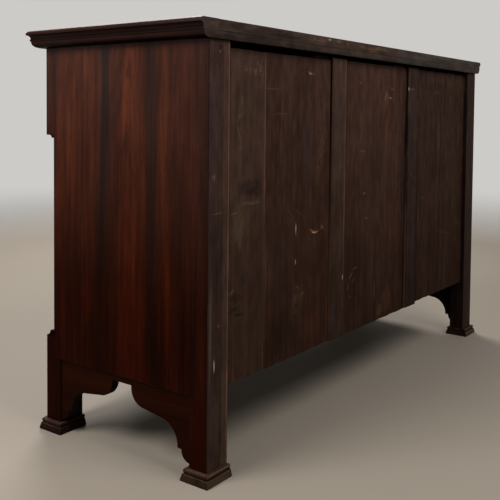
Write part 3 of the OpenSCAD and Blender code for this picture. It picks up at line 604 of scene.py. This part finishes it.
def inner(name, axis, tones, seed, lipped=True):
    """Plain secondary wood of the inside, a little stained, lipped with rosewood in front."""
    light, dark = tones
    material, t, bsdf = new_material(name, {"Specular IOR Level": 0.15})
    place, _, grain = grained(t, axis, 90.0, 2.2, 0.03, seed)
    colour = t.mix(grain["Bands"], dark, light)
    colour = t.toned(colour, grain["Lines"], (0.78, 0.75, 0.72), 1.12)
    colour = t.toned(colour, grain["Pores"], 1, (0.7, 0.66, 0.62))
    colour = t.laid(colour, t.tinted(dark, (0.6, 0.52, 0.45)), grain["Blotches"], 0.45)
    if lipped:
        from_centre = t.stretch(t.vector("SUBTRACT", place, (0, BOW_CENTRE, 0)), (1, 1, 0))
        upper = t.math("GREATER_THAN", t.parts(place)["Z"], FRIEZE_FOOT)
        front = t.plus(t.times(upper, FRIEZE_BOW - DOOR_BOW), DOOR_BOW - LIPPING)
        behind = t.minus(t.vector("LENGTH", from_centre), front)
        veined = t.mix(grain["Bands"], ROSEWOOD[2], ROSEWOOD[1])
        colour = t.mix(t.span(behind, 0.0, 0.0004), colour, veined)
    colour = edges_of(t, place, colour, 0.35, 50.0, light, 0.5)[0]
    t.give(bsdf, Base_Color=colour, Roughness=t.span(grain["Lines"], 0, 1, 0.75, 0.55),
           Normal=t.bump(grain["Height"], 0.0004))
    return material


def brass_finish():
    """Old brass: rubbed bright where it is handled, browner in the hollows."""
    material, t, bsdf = new_material("old brass", {"Metallic": 1.0})
    place = t.object_place()
    cloud = t.noise(place, 60.0, 4.0)
    spots = t.noise(place, 420.0, 3.0)
    colour = t.ramp(cloud, [(0.32, (104, 80, 46)), (0.55, (154, 122, 72)),
                            (0.75, (178, 146, 92))])
    colour = t.mix(t.span(spots, 0.56, 0.7, 0.0, 0.6), colour, (74, 58, 38))
    colour = edges_of(t, place, colour, 0.9, 120.0, (206, 176, 118), 0.6)[0]
    t.give(bsdf, Base_Color=colour, Roughness=t.span(cloud, 0.3, 0.7, 0.5, 0.28),
           Normal=t.bump(spots, 0.0001, 0.4))
    return material


finishes = {
    "end": rosewood("rosewood end veneer", "z", ROSEWOOD, 0.0, coat=0.26, veneer=True),
    "up": rosewood("rosewood upright", "z", ROSEWOOD, 3.1),
    "long": rosewood("rosewood lengthways", "x", ROSEWOOD, 5.3),
    # The aprons' tones by height paint shade towards the floor and a highlight along their top edge
    "apron": rosewood(
        "rosewood of the end aprons", "y", APRONS, 8.6, streaks=0.6,
        light_shade_levels=[(20, 0.66), (120, 0.8), (158, 0.9), (168.3, 0.9), (169.5, 3.0), (171, 1.0)]),
    "moulding": rosewood(
        "rosewood mouldings, front", "x", MOULDED, 2.7, coat=0.15, wear=0.5, light_shade_levels=TOP_LIGHT_AND_SHADE),
    "end moulding": rosewood(
        "rosewood mouldings, ends", "y", MOULDED, 7.7, coat=0.15, wear=0.5, light_shade_levels=TOP_LIGHT_AND_SHADE),
    "top": rosewood("rosewood of the top", "x", ROSEWOOD, 5.9, coat=0.35),
    "foot": rosewood(
        "rosewood of the feet", "x", ((50, 35, 28), (40, 28, 22), (26, 18, 15)), 2.2,
        FOOT_FLOOR_SHADE, wear=0.9, light_shade_levels=FOOT_LIGHT_AND_SHADE),
    # The front feet are a darker copy of the feet, painted as if in shade
    "front foot": rosewood(
        "rosewood of the front feet", "x", ((34, 23, 21), (27, 18, 16), (18, 12, 11)),
        6.4, FOOT_FLOOR_SHADE, wear=0.9, light_shade_levels=FOOT_LIGHT_AND_SHADE),
    "foot back": aged(
        "bare back of the rear feet", "x", (56, 45, 35), (56, 45, 35), 5.4, contrast=1.6,
        light_shade_levels=FOOT_LIGHT_AND_SHADE),
    "post back": aged(
        "aged back of the posts", "z", (50, 34, 30), (43, 31, 25), 1.4, POST_MARKS,
        strips=[(0.69, 0.7025, (56, 42, 44), 0.5), (0.6365, 0.6575, (72, 53, 44), 0.75),
                (0.6365, 0.6405, (112, 88, 74), 0.7),
                (-0.7025, -0.6365, (36, 25, 19), 0.9)]),
    "board by the post": aged(
        "aged board by the right post", "z", (57, 41, 34), (47, 32, 23), 7.6,
        [m for m in RIGHT_MARKS if m[0] > 1000 * BOARD_JOINT],
        strips=[(0.4945, 0.499, (88, 64, 52), 0.3)]),
    "board right": aged(
        "aged board, right bay", "z", (52, 34, 28), (38, 21, 12), 2.6,
        [m for m in RIGHT_MARKS if m[0] < 1000 * BOARD_JOINT],
        strips=[(0.214, 0.236, (62, 43, 36), 0.4)]),
    # The near-black strips of the boards beside the muntins are painted shade, partly dirt
    "board centre": aged(
        "aged board, centre bay", "z", (58, 38, 31), (36, 20, 11), 4.2, CENTRE_MARKS,
        strips=[(-0.2, -0.1885, (13, 7, 6), 0.95), (-0.1885, -0.172, (36, 22, 21), 0.5),
                (0.142, 0.151, (22, 10, 8), 0.6)]),
    "board left": aged(
        "aged board, left bay", "z", (45, 29, 21), (37, 20, 11), 6.1, LEFT_MARKS,
        strips=[(-0.284, -0.268, (13, 7, 7), 0.95)]),
    # The dark strips at the muntins' edges are painted shade, partly dirt
    "muntin": aged(
        "aged muntins", "z", (59, 43, 37), (40, 26, 19), 8.3, MUNTIN_MARKS, dirt=0.35,
        strips=[(-0.28, -0.19, (34, 22, 19), 0.85), (-0.272, -0.2645, (16, 9, 8), 0.8),
                (-0.2045, -0.19, (14, 8, 7), 0.9)]),
    # The sides of the muntins get painted shade that darkens them towards the top
    "muntin side": aged(
        "sides of the muntins", "z", (92, 66, 53), (92, 62, 46), 8.9, haze=0.05, wear=0.2,
        dirt=0.3, light_shade_levels=[(160, 1.0), (400, 1.0), (520, 0.45), (680, 0.12), (880, 0.05)]),
    # Faces painted near-black as if in shade: the inner and back faces of the posts, legs, aprons
    # and front feet
    "dark edge": aged(
        "dark edges and inner faces", "z", (24, 13, 10), (20, 10, 8), 3.6, haze=0.05,
        wear=0.2, rubbed_tint=(40, 27, 21)),
    # Its tones by height paint shade along the lower edge under the moulding, with a dark joint
    # line
    "top back": aged(
        "aged back edge of the top", "x", (48, 39, 34), (48, 39, 34), 9.5, TOP_MARKS,
        contrast=1.6, haze=0.5,
        strips=[(0.42, 0.76, (36, 28, 26), 0.75), (-0.76, -0.1, (62, 58, 55), 0.6)],
        light_shade_levels=[(876, 0.45), (878.5, 0.75), (880, 0.9), (890.5, 0.95), (891.6, 0.75),
                (892.6, 0.75), (893.6, 1.0), (916, 1.08)]),
    "end grain": aged(
        "end grain of the top strips", "x", (52, 42, 41), (50, 40, 39), 11.2,
        [(690, 905, 20, 7, TAN, 0.6), (640, 904, 9, 1.5, STAIN, 0.8)], contrast=0.6),
    "inner up": inner("inner wood upright", "z", INSIDE, 1.9),
    "inner long": inner("inner wood lengthways", "x", INSIDE, 3.7),
    "inner deep": inner("inner wood front to back", "y", INSIDE, 5.1),
    "door back": inner(
        "inner face of the doors", "z", ((98, 62, 42), (66, 40, 28)), 6.6, False),
    "drawer back": inner("inner face of the drawer fronts", "x", INSIDE, 8.2, False),
    "drawer side": inner("drawer sides", "y", DRAWERS, 2.4, False),
    "drawer bottom": inner("drawer bottoms", "x", DRAWERS, 9.3, False),
    # The back top rail painted dark as if in the shade inside the carcass
    "inner dark": inner("dark inner wood", "x", ((40, 27, 20), (28, 18, 13)), 4.4),
    "door": rosewood(
        "rosewood doors", "z", ROSEWOOD, 9.9, DOOR_FLOOR_SHADE, coat=0.35,
        flame={"Centre": 0.0, "Half Width": 0.16, "Rings": 9.0, "Slope": 0.35}),
    "iron": aged(
        "rusted iron of the nails", "z", (34, 24, 20), (28, 19, 15), 12.5, contrast=1.4),
    "brass": brass_finish(),
}


def new_object(name, data):
    """An object in the scene, at the origin."""
    made = bpy.data.objects.new(name, data)
    bpy.context.scene.collection.objects.link(made)
    return made


def cad_mesh(node):
    bm = bmesh.new()
    bm.from_mesh(frame["nodes"][node].data)
    return bm


def merged(node, weld):
    """A CAD piece's mesh with its corners joined and its flat faces whole."""
    bm = cad_mesh(node)
    bmesh.ops.remove_doubles(bm, verts=bm.verts, dist=TINY)
    if weld > TINY:
        bmesh.ops.dissolve_degenerate(bm, edges=bm.edges, dist=weld)
    bmesh.ops.dissolve_limit(bm, angle_limit=math.radians(0.2), verts=bm.verts, edges=bm.edges)
    return bm


def surface_of(node):
    """A search tree of a CAD piece's faces, and its lowest and highest corners."""
    bm = cad_mesh(node)
    tree = BVHTree.FromBMesh(bm)
    bm.free()
    return (tree, *(Vector(corner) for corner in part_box(node)))


SURFACES = {node: surface_of(node) for node in frame["nodes"]}

# Which faces of a piece are meant, by where a face is and which way it looks
FACES = {
    "back": lambda at, way: way.y > 0.8,
    "front": lambda at, way: way.y < -0.8,
    "sides": lambda at, way: abs(way.x) > 0.8,
    "outer": lambda at, way: abs(way.x) > 0.8 and way.x * at.x > 0,
    "inner": lambda at, way: abs(way.x) > 0.8 and way.x * at.x < 0,
    "end strip": lambda at, way: at.y > -0.1,
    "long part of the back": lambda at, way: way.y > 0.8 and abs(at.x) < 0.6,
    "back of a rear foot": lambda at, way: way.y > 0.8 and at.y > 0.2,
    "front foot": lambda at, way: at.y < -0.1,
    "inside of a front foot": lambda at, way: at.y < -0.1 and (
        way.y > 0.8 or way.x * at.x < 0 and abs(way.x) > 0.8),
    "by the post": lambda at, way: at.x > BOARD_JOINT,
}


def neighbours_of(node):
    """Search trees of the other CAD pieces that come within a millimetre of this one."""
    _, low, high = SURFACES[node]
    return [tree for other, (tree, other_low, other_high) in SURFACES.items()
            if other != node and all(low[i] < other_high[i] + 1e-3
                                     and other_low[i] < high[i] + 1e-3 for i in range(3))]


def flush(edge):
    """The upright joints that the end veneer covers stay unbroken."""
    a, b = (v.co for v in edge.verts)
    return all(p.z > PANEL_FOOT - 1e-4 and abs(abs(p.x) - HALF) < 1e-4
               and any(abs(p.y - y) < 1e-4 for y in FLUSH)
               for p in (a, b)) and (abs(a.y - b.y) < 1e-4 or edge.calc_length() < 0.01)


def saw_ends(bm):
    """Leaves the sawn ends of a back board a little uneven."""
    for way in (1, -1):
        ends = [f for f in bm.faces if f.normal.z * way < -0.9]
        long = list({e for f in ends for e in f.edges if e.calc_length() > 5 * SAW_STEP})
        cuts = int(max(e.calc_length() for e in long) / SAW_STEP)
        bmesh.ops.subdivide_edges(bm, edges=long, cuts=cuts, use_grid_fill=True)
        for v in {v for f in bm.faces if f.normal.z * way < -0.9 for v in f.verts}:
            slow = noise.noise(Vector((v.co.x * 28, 3.0 * way, 0)))
            quick = noise.noise(Vector((v.co.x * 75, 9.0 * way, 2)))
            v.co.z += way * SAW_DEPTH * min(1.0, max(0.0, 0.35 + slow + 0.5 * quick))


def part_at_panel(bm):
    """Divides a post where the end panel stops, so that its edge below can be eased."""
    bmesh.ops.bisect_plane(bm, geom=bm.verts[:] + bm.edges[:] + bm.faces[:], dist=1e-6,
                           plane_co=(0, 0, PANEL_FOOT), plane_no=(0, 0, 1))


def ease_edges(bm, width, node):
    """Rounds the sharp edges. Their faces carry 1 on a corner, -1 in a hollow or a joint."""
    bm.faces.layers.float.new("worn")
    sharp = [e for e in bm.edges if e.is_manifold and e.calc_face_angle() > SHARP
             and not flush(e)]
    made = bmesh.ops.bevel(bm, geom=sharp, offset=width, offset_type="OFFSET", segments=2,
                           profile=0.5, affect="EDGES", clamp_overlap=True)
    layer = bm.faces.layers.float["worn"]
    near = neighbours_of(node)
    for face in made["faces"]:
        turn = sum(e.calc_face_angle_signed(0.0) for e in face.edges if e.is_manifold)
        centre = face.calc_center_median()
        touching = any(tree.find_nearest(centre, width + JOINT)[0] for tree in near)
        face[layer] = -1.0 if turn < 0 or touching else 1.0


def dress(node, finish, rules=(), width=0.8, weld=TINY, shape=None):
    """A finished copy of a CAD piece: edges eased by a width in millimetres, a finish by face."""
    bm = merged(node, weld)
    if shape:
        shape(bm)
    keys = [finish]
    for face in bm.faces:
        centre = face.calc_center_median()
        for faces, key in rules:
            if FACES[faces](centre, face.normal):
                if key not in keys:
                    keys.append(key)
                face.material_index = keys.index(key)
                break
    ease_edges(bm, width / 1000, node)
    mesh = bpy.data.meshes.new(node + ".finished")
    bm.to_mesh(mesh)
    bm.free()
    for key in keys:
        mesh.materials.append(finishes[key])
    mesh.shade_smooth()
    mesh.set_sharp_from_angle(angle=CREASE)
    piece = new_object(mesh.name, mesh)
    weigh = piece.modifiers.new("even shading", "WEIGHTED_NORMAL")
    weigh.keep_sharp = True
    weigh.weight = 100
    piece["stands_for"] = node
    return piece


def fixings_tree(name, head_of):
    """A head on every point of a mesh, facing as the point does and turned by chance."""
    t, given, made = new_group(
        name, {"Geometry": "Geometry", "Radius": 0.003, "Rise": 0.0004, "Slot": 0.0008,
               "Finish": "Material", "Seed": 1}, {"Geometry": "Geometry"}, "GeometryNodeTree")
    facing = t.add("GeometryNodeInputNamedAttribute", {"Name": "facing"}, "Attribute",
                   data_type="FLOAT_VECTOR")
    turned = t.add("FunctionNodeAlignRotationToVector", {"Vector": facing}, axis="Z")
    chance = t.add("FunctionNodeRandomValue", {2: -1.5, 3: 1.5, 8: given["Seed"]}, 1,
                   data_type="FLOAT")
    spin = t.add("FunctionNodeEulerToRotation", {0: t.xyz(0, 0, chance)})
    turned = t.add("FunctionNodeRotateRotation", {"Rotation": turned, "Rotate By": spin},
                   rotation_space="LOCAL")
    head = head_of(t, given["Radius"], given["Rise"], given["Slot"])
    placed = t.add("GeometryNodeInstanceOnPoints", {
        "Points": given["Geometry"], "Instance": head, "Rotation": turned})
    return made_whole(t, placed, given, made)


def made_whole(t, geometry, given, made):
    """Ends a tree: its instances made real, in their finish."""
    whole = t.add("GeometryNodeRealizeInstances", {"Geometry": geometry})
    whole = t.add("GeometryNodeSetMaterial", {"Geometry": whole, "Material": given["Finish"]})
    t.give(made, Geometry=whole)
    return t.tree


def cylinder(t, sides_round, radius, depth):
    return t.add("GeometryNodeMeshCylinder", {
        "Vertices": sides_round, "Radius": radius, "Depth": depth}, "Mesh")


def turned_head(t, radius, rise, slot):
    """A screw's head with its slot, half of it below the surface."""
    depth = t.times(rise, 2.0)
    head = cylinder(t, 20, radius, depth)
    cutter = t.add("GeometryNodeMeshCube", {"Size": t.xyz(t.times(radius, 3.0), slot, depth)},
                   "Mesh")
    cutter = t.add("GeometryNodeTransform", {
        "Geometry": cutter, "Translation": t.xyz(0, 0, rise)})
    return t.add("GeometryNodeMeshBoolean", {"Mesh 1": head, "Mesh 2": cutter}, "Mesh",
                 operation="DIFFERENCE", solver="EXACT")


def domed_head(t, radius, rise, slot):
    """A nail's head, low and round."""
    ball = t.add("GeometryNodeMeshUVSphere", {"Segments": 12, "Rings": 6, "Radius": radius},
                 "Mesh")
    size = t.xyz(1, 1, t.math("DIVIDE", rise, radius))
    return t.add("GeometryNodeTransform", {"Geometry": ball, "Scale": size})


def six_sided(t, radius, rise, slot):
    """A nut on the end of a handle's bolt."""
    both = t.add("GeometryNodeJoinGeometry", out=None)
    for part in (cylinder(t, 6, radius, t.times(rise, 2.0)),
                 cylinder(t, 16, t.times(radius, 0.45), t.times(rise, 3.4))):
        t.join(part, both.inputs[0])
    return both.outputs[0]


def beading_tree():
    """A round bead along the edges of a mesh."""
    t, given, made = new_group(
        "bead along a path",
        {"Geometry": "Geometry", "Radius": 0.0015, "Sides": 8, "Finish": "Material"},
        {"Geometry": "Geometry"}, "GeometryNodeTree")
    path = t.add("GeometryNodeMeshToCurve", {"Mesh": given["Geometry"]})
    section = t.add("GeometryNodeCurvePrimitiveCircle", {
        "Resolution": given["Sides"], "Radius": given["Radius"]})
    bead = t.add("GeometryNodeCurveToMesh", {"Curve": path, "Profile Curve": section})
    bead = t.add("GeometryNodeSetShadeSmooth", {"Geometry": bead})
    return made_whole(t, bead, given, made)


SCREWS = fixings_tree("screw heads", turned_head)
NAILS = fixings_tree("nail heads", domed_head)
NUTS = fixings_tree("nuts on bolts", six_sided)
BEADING = beading_tree()


def laid_out(name, tree, finish, body, slot, points, facing=(), edges=(), **inputs):
    """A piece that a Geometry Nodes tree makes on these points and edges of one body."""
    mesh = bpy.data.meshes.new(name)
    mesh.from_pydata(points, edges, [])
    if facing:
        layer = mesh.attributes.new("facing", "FLOAT_VECTOR", "POINT")
        layer.data.foreach_set("vector", [value for way in facing for value in way])
    piece = new_object(name, mesh)
    maker = piece.modifiers.new("maker", "NODES")
    maker.node_group = tree
    inputs["Finish"] = finishes[finish]
    for item in tree.interface.items_tree:
        if item.in_out == "INPUT" and item.name in inputs:
            maker[item.identifier] = inputs[item.name]
    piece["body"] = body
    piece["slot"] = slot
    return piece


def bow(x, radius):
    """Y of the bowed front at x, for a face of this radius."""
    return BOW_CENTRE - math.sqrt(radius * radius - x * x)


def bead_round(name, body, node, radius, inset):
    """A bead that frames the face of a drawer or a door."""
    low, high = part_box(node)
    x0, x1, z0, z1 = low[0] + inset, high[0] - inset, low[2] + inset, high[2] - inset
    across = [x0 + (x1 - x0) * i / BEAD_STEPS for i in range(1, BEAD_STEPS)]
    across = [x0, x0 + CORNER] + across + [x1 - CORNER, x1]
    upright = [z0 + CORNER, z1 - CORNER]
    ring = ([(x, z0) for x in across] + [(x1, z) for z in upright]
            + [(x, z1) for x in reversed(across)] + [(x0, z) for z in reversed(upright)])
    points = [(x, bow(x, radius), z) for x, z in ring]
    edges = [(i, (i + 1) % len(ring)) for i in range(len(ring))]
    return laid_out(name, BEADING, "moulding", body, "rosewood", points, edges=edges, **BEAD)


def hinge_screws():
    """Three screws in each leaf, on the face that shows when the door is open."""
    made = []
    frame_points, frame_facing = [], []
    for joint in (j for j in frame["joints"] if j["name"].startswith("door_")):
        door = joint["child"]
        x, y, _ = joint["pos_m"]
        side = -joint["axis"][2]           # 1 for a door hung on its left
        low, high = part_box(door.replace("door_", "door_leaves_").replace("_body", ""))
        spots = [(y + LEAF_MIDDLE + step, foot + rise)
                 for foot in (low[2], high[2] - HINGE_HEIGHT) for step, rise in SCREW_PLACES]
        frame_points += [(x - side * HALF_GAP, place, z) for place, z in spots]
        frame_facing += [(side, 0, 0)] * len(spots)
        made.append(laid_out(
            door + ".screws", SCREWS, "brass", door, "brass",
            [(x + side * HALF_GAP, place, z) for place, z in spots],
            [(-side, 0, 0)] * len(spots), Seed=3, **SCREW))
    made.append(laid_out("hinge_screws", SCREWS, "brass", "carcass", "brass", frame_points,
                         frame_facing, Seed=5, **SCREW))
    return made


def handle_nuts():
    """The nuts inside the drawers that hold the handles' posts."""
    made = []
    for joint in (j for j in frame["joints"] if j["name"].startswith("bail_")):
        points, facing = [], []
        for way in (-1, 1):
            x = joint["pos_m"][0] + way * HALF_POSTS * joint["axis"][0]
            inward = Vector((-x, BOW_CENTRE - bow(x, FRIEZE_BOW), 0)).normalized()
            points.append((x, bow(x, FRIEZE_BOW - FRONT_THICK), joint["pos_m"][2]))
            facing.append(tuple(inward))
        drawer = joint["parent"]
        made.append(laid_out(drawer + ".nuts", NUTS, "brass", drawer, "brass", points, facing,
                             Seed=2, **NUT))
    return made


def board_nails():
    """Nails along the rails and shelves that the back boards are fixed to."""
    chance = random.Random(7)
    along, up = NAIL_STRAY
    points = [(x + chance.uniform(-along, along), y, z + chance.uniform(-up, up))
              for heights, places, y in NAIL_ROWS for z in heights for x in places]
    return laid_out("back_nails", NAILS, "iron", "carcass", "back_boards", points,
                    [(0, 1, 0)] * len(points), Seed=9, **NAIL)


def turn_outwards(piece):
    bm = bmesh.new()
    bm.from_mesh(piece.data)
    bmesh.ops.recalc_face_normals(bm, faces=bm.faces)
    bm.to_mesh(piece.data)
    bm.free()


def apply_modifiers(things):
    """Turns what the modifiers make into the pieces' own meshes."""
    bpy.context.view_layer.update()
    graph = bpy.context.evaluated_depsgraph_get()
    made = [(p, bpy.data.meshes.new_from_object(p.evaluated_get(graph))) for p in things]
    for piece, mesh in made:
        piece.modifiers.clear()
        piece.data = mesh


pieces = [
    dress("top_board", "top", [("back", "top back")], 1.0),
    dress("top_edge_moulding", "moulding",
          [("back", "end grain"), ("end strip", "end moulding")], 0.6, WELD),
    dress("bed_frame", "moulding",
          [("long part of the back", "top back"), ("back", "end grain"),
           ("end strip", "end moulding")], 0.6, WELD),
    dress("feet", "foot",
          [("back of a rear foot", "foot back"), ("inside of a front foot", "dark edge"),
           ("front foot", "front foot")], 1.0),
    dress("front_apron", "long", [("back", "dark edge")]),
    dress("base_moulding", "moulding", [], 0.6, WELD),
    dress("bottom_board", "inner long", [("front", "long")], 0.5),
    dress("frieze_top_rail", "long"),
    dress("frieze_bottom_rail", "long"),
    dress("frieze_bead", "moulding", [], 0.5),
    dress("dust_board", "inner long"),
    dress("guides_and_stops", "inner deep"),
    dress("shelves", "inner long", [], 1.0),
    dress("shelf_battens", "inner deep"),
    dress("back_muntin_left", "muntin", [("sides", "muntin side")], 1.0, shape=saw_ends),
    dress("back_muntin_right", "muntin", [("sides", "muntin side")], 1.0, shape=saw_ends),
    dress("back_board_left", "board left", [], 1.0, shape=saw_ends),
    dress("back_board_centre", "board centre", [], 1.0, shape=saw_ends),
    dress("back_boards_right", "board right",
          [("by the post", "board by the post")], 1.0, shape=saw_ends),
    dress("back_top_rail", "inner dark"),
    dress("hinge_frame_leaves", "brass", [], 0.2),
    dress("hinge_pins", "brass", [], 0.3),
]
for end in ("left", "right"):
    pieces += [
        dress("rear_post_" + end, "dark edge", [("back", "post back"), ("outer", "end")],
              1.0, shape=part_at_panel),
        dress("front_leg_" + end, "up",
              [("outer", "end"), ("back", "dark edge"), ("inner", "dark edge")], 1.0),
        dress("side_panel_" + end, "inner up", [("outer", "end"), ("front", "up")], 0.6),
        dress("side_apron_" + end, "dark edge", [("outer", "apron")]),
        dress("front_stile_" + end, "up", [("outer", "end")]),
        dress("drawer_divider_" + end, "inner deep", [("front", "up")]),
        dress("partition_" + end, "inner up", [("front", "up")]),
    ]
bays = ("left", "centre", "right")
for bay in bays:
    pieces += [
        dress("drawer_front_" + bay, "long", [("back", "drawer back")], 1.0),
        dress("drawer_box_" + bay, "drawer side"),
        dress("drawer_bottom_" + bay, "drawer bottom", [], 0.3),
        dress("handle_posts_" + bay, "brass", [], 0.3),
        dress("bail_" + bay, "brass", [], 0.2),
        dress("door_" + bay, "door", [("back", "door back")], 1.0),
        dress("door_leaves_" + bay, "brass", [], 0.2),
        dress("door_knob_" + bay, "brass", [], 0.3),
    ]
fittings = hinge_screws() + handle_nuts() + [board_nails()]
for bay in bays:
    drawer, door = "drawer_" + bay, "door_" + bay
    fittings += [
        bead_round(drawer + ".bead", drawer, "drawer_front_" + bay, FRIEZE_BOW, DRAWER_INSET),
        bead_round(door + ".bead", door + "_body", door, DOOR_BOW, DOOR_INSET),
    ]
apply_modifiers(pieces + fittings)
for piece in pieces:
    node = piece["stands_for"]
    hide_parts(node)
    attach(piece, frame["nodes"][node]["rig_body"])
for piece in fittings:
    turn_outwards(piece)
    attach(piece, piece["body"])


def lay_floor():
    """A wide plain floor that fades out into the pale room."""
    radius, fade_from, fade_to = 7, 2.6, 6.5
    material, t, bsdf = new_material("plain floor", {"Specular IOR Level": 0.15})
    place = t.object_place()
    cloud = t.noise(place, 1.3, 4.0)
    reach = t.span(t.vector("LENGTH", place), fade_from, fade_to, 1.0, 0.0)
    t.give(bsdf, Base_Color=t.mix(cloud, (126, 119, 109), (135, 127, 117)),
           Roughness=t.span(cloud, 0, 1, 0.6, 0.8), Alpha=t.times(reach, reach))
    bm = bmesh.new()
    bmesh.ops.create_circle(bm, cap_ends=True, segments=96, radius=radius)
    mesh = bpy.data.meshes.new("floor")
    bm.to_mesh(mesh)
    bm.free()
    mesh.materials.append(material)
    new_object("floor", mesh)


def light_room():
    """A pale room: even light from all round and three large soft lamps above."""
    world = bpy.data.worlds.new("pale room")
    bpy.context.scene.world = world
    world.use_nodes = True
    world.node_tree.nodes.clear()
    t = Tree(world.node_tree)
    path = t.add("ShaderNodeLightPath", out=None).outputs
    seen = t.math("MAXIMUM", path["Is Camera Ray"],
                  t.math("MAXIMUM", path["Is Glossy Ray"], path["Is Transmission Ray"]))
    shown = t.add("ShaderNodeBackground", {"Color": srgb((205, 203, 200)), "Strength": 1.0})
    gives = t.add("ShaderNodeBackground", {"Color": (1.0, 0.98, 0.95, 1), "Strength": 0.25})
    both = t.add("ShaderNodeMixShader", {0: seen, 1: gives, 2: shown})
    t.add("ShaderNodeOutputWorld", {"Surface": both}, None)
    aim = Vector((0, 0, 0.5))              # the middle of the object
    for name, place, size, watts in (("lamp over the right end", (2.5, -0.5, 2.6), 1.6, 105),
                                     ("lamp over the back", (0.5, 2.0, 2.7), 1.6, 68),
                                     ("lamp over the front", (-1.8, -2.2, 2.7), 1.8, 130)):
        light = bpy.data.lights.new(name, "AREA")
        light.shape = "DISK"
        light.size = size
        light.energy = watts
        light.color = (1.0, 0.97, 0.93)
        lamp = new_object(name, light)
        lamp.visible_camera = False
        lamp.location = place
        lamp.rotation_euler = (aim - Vector(place)).to_track_quat("-Z", "Y").to_euler()


def aim_camera():
    """The photograph's view: from behind the right end, near the height of the top."""
    place, lens, sensor, shift = (1.8692, 1.2412, 0.7266), 56.424, 36, -0.1986
    yaw, pitch, roll = (math.radians(a) for a in (53.638, 2.5, 0.529))
    forward = Vector((-math.sin(yaw) * math.cos(pitch), -math.cos(yaw) * math.cos(pitch),
                      -math.sin(pitch)))
    level = Vector((-math.cos(yaw), math.sin(yaw), 0))
    upward = level.cross(forward)
    across = math.cos(roll) * level + math.sin(roll) * upward
    upright = -math.sin(roll) * level + math.cos(roll) * upward
    camera = new_object("camera", bpy.data.cameras.new("camera"))
    camera.matrix_world = Matrix.Translation(place) @ Matrix(
        (across, upright, -forward)).transposed().to_4x4()
    camera.data.lens = lens
    camera.data.sensor_width = sensor
    camera.data.shift_y = shift
    bpy.context.scene.camera = camera


lay_floor()
light_room()
aim_camera()
bpy.context.scene.view_settings.view_transform = "Standard"
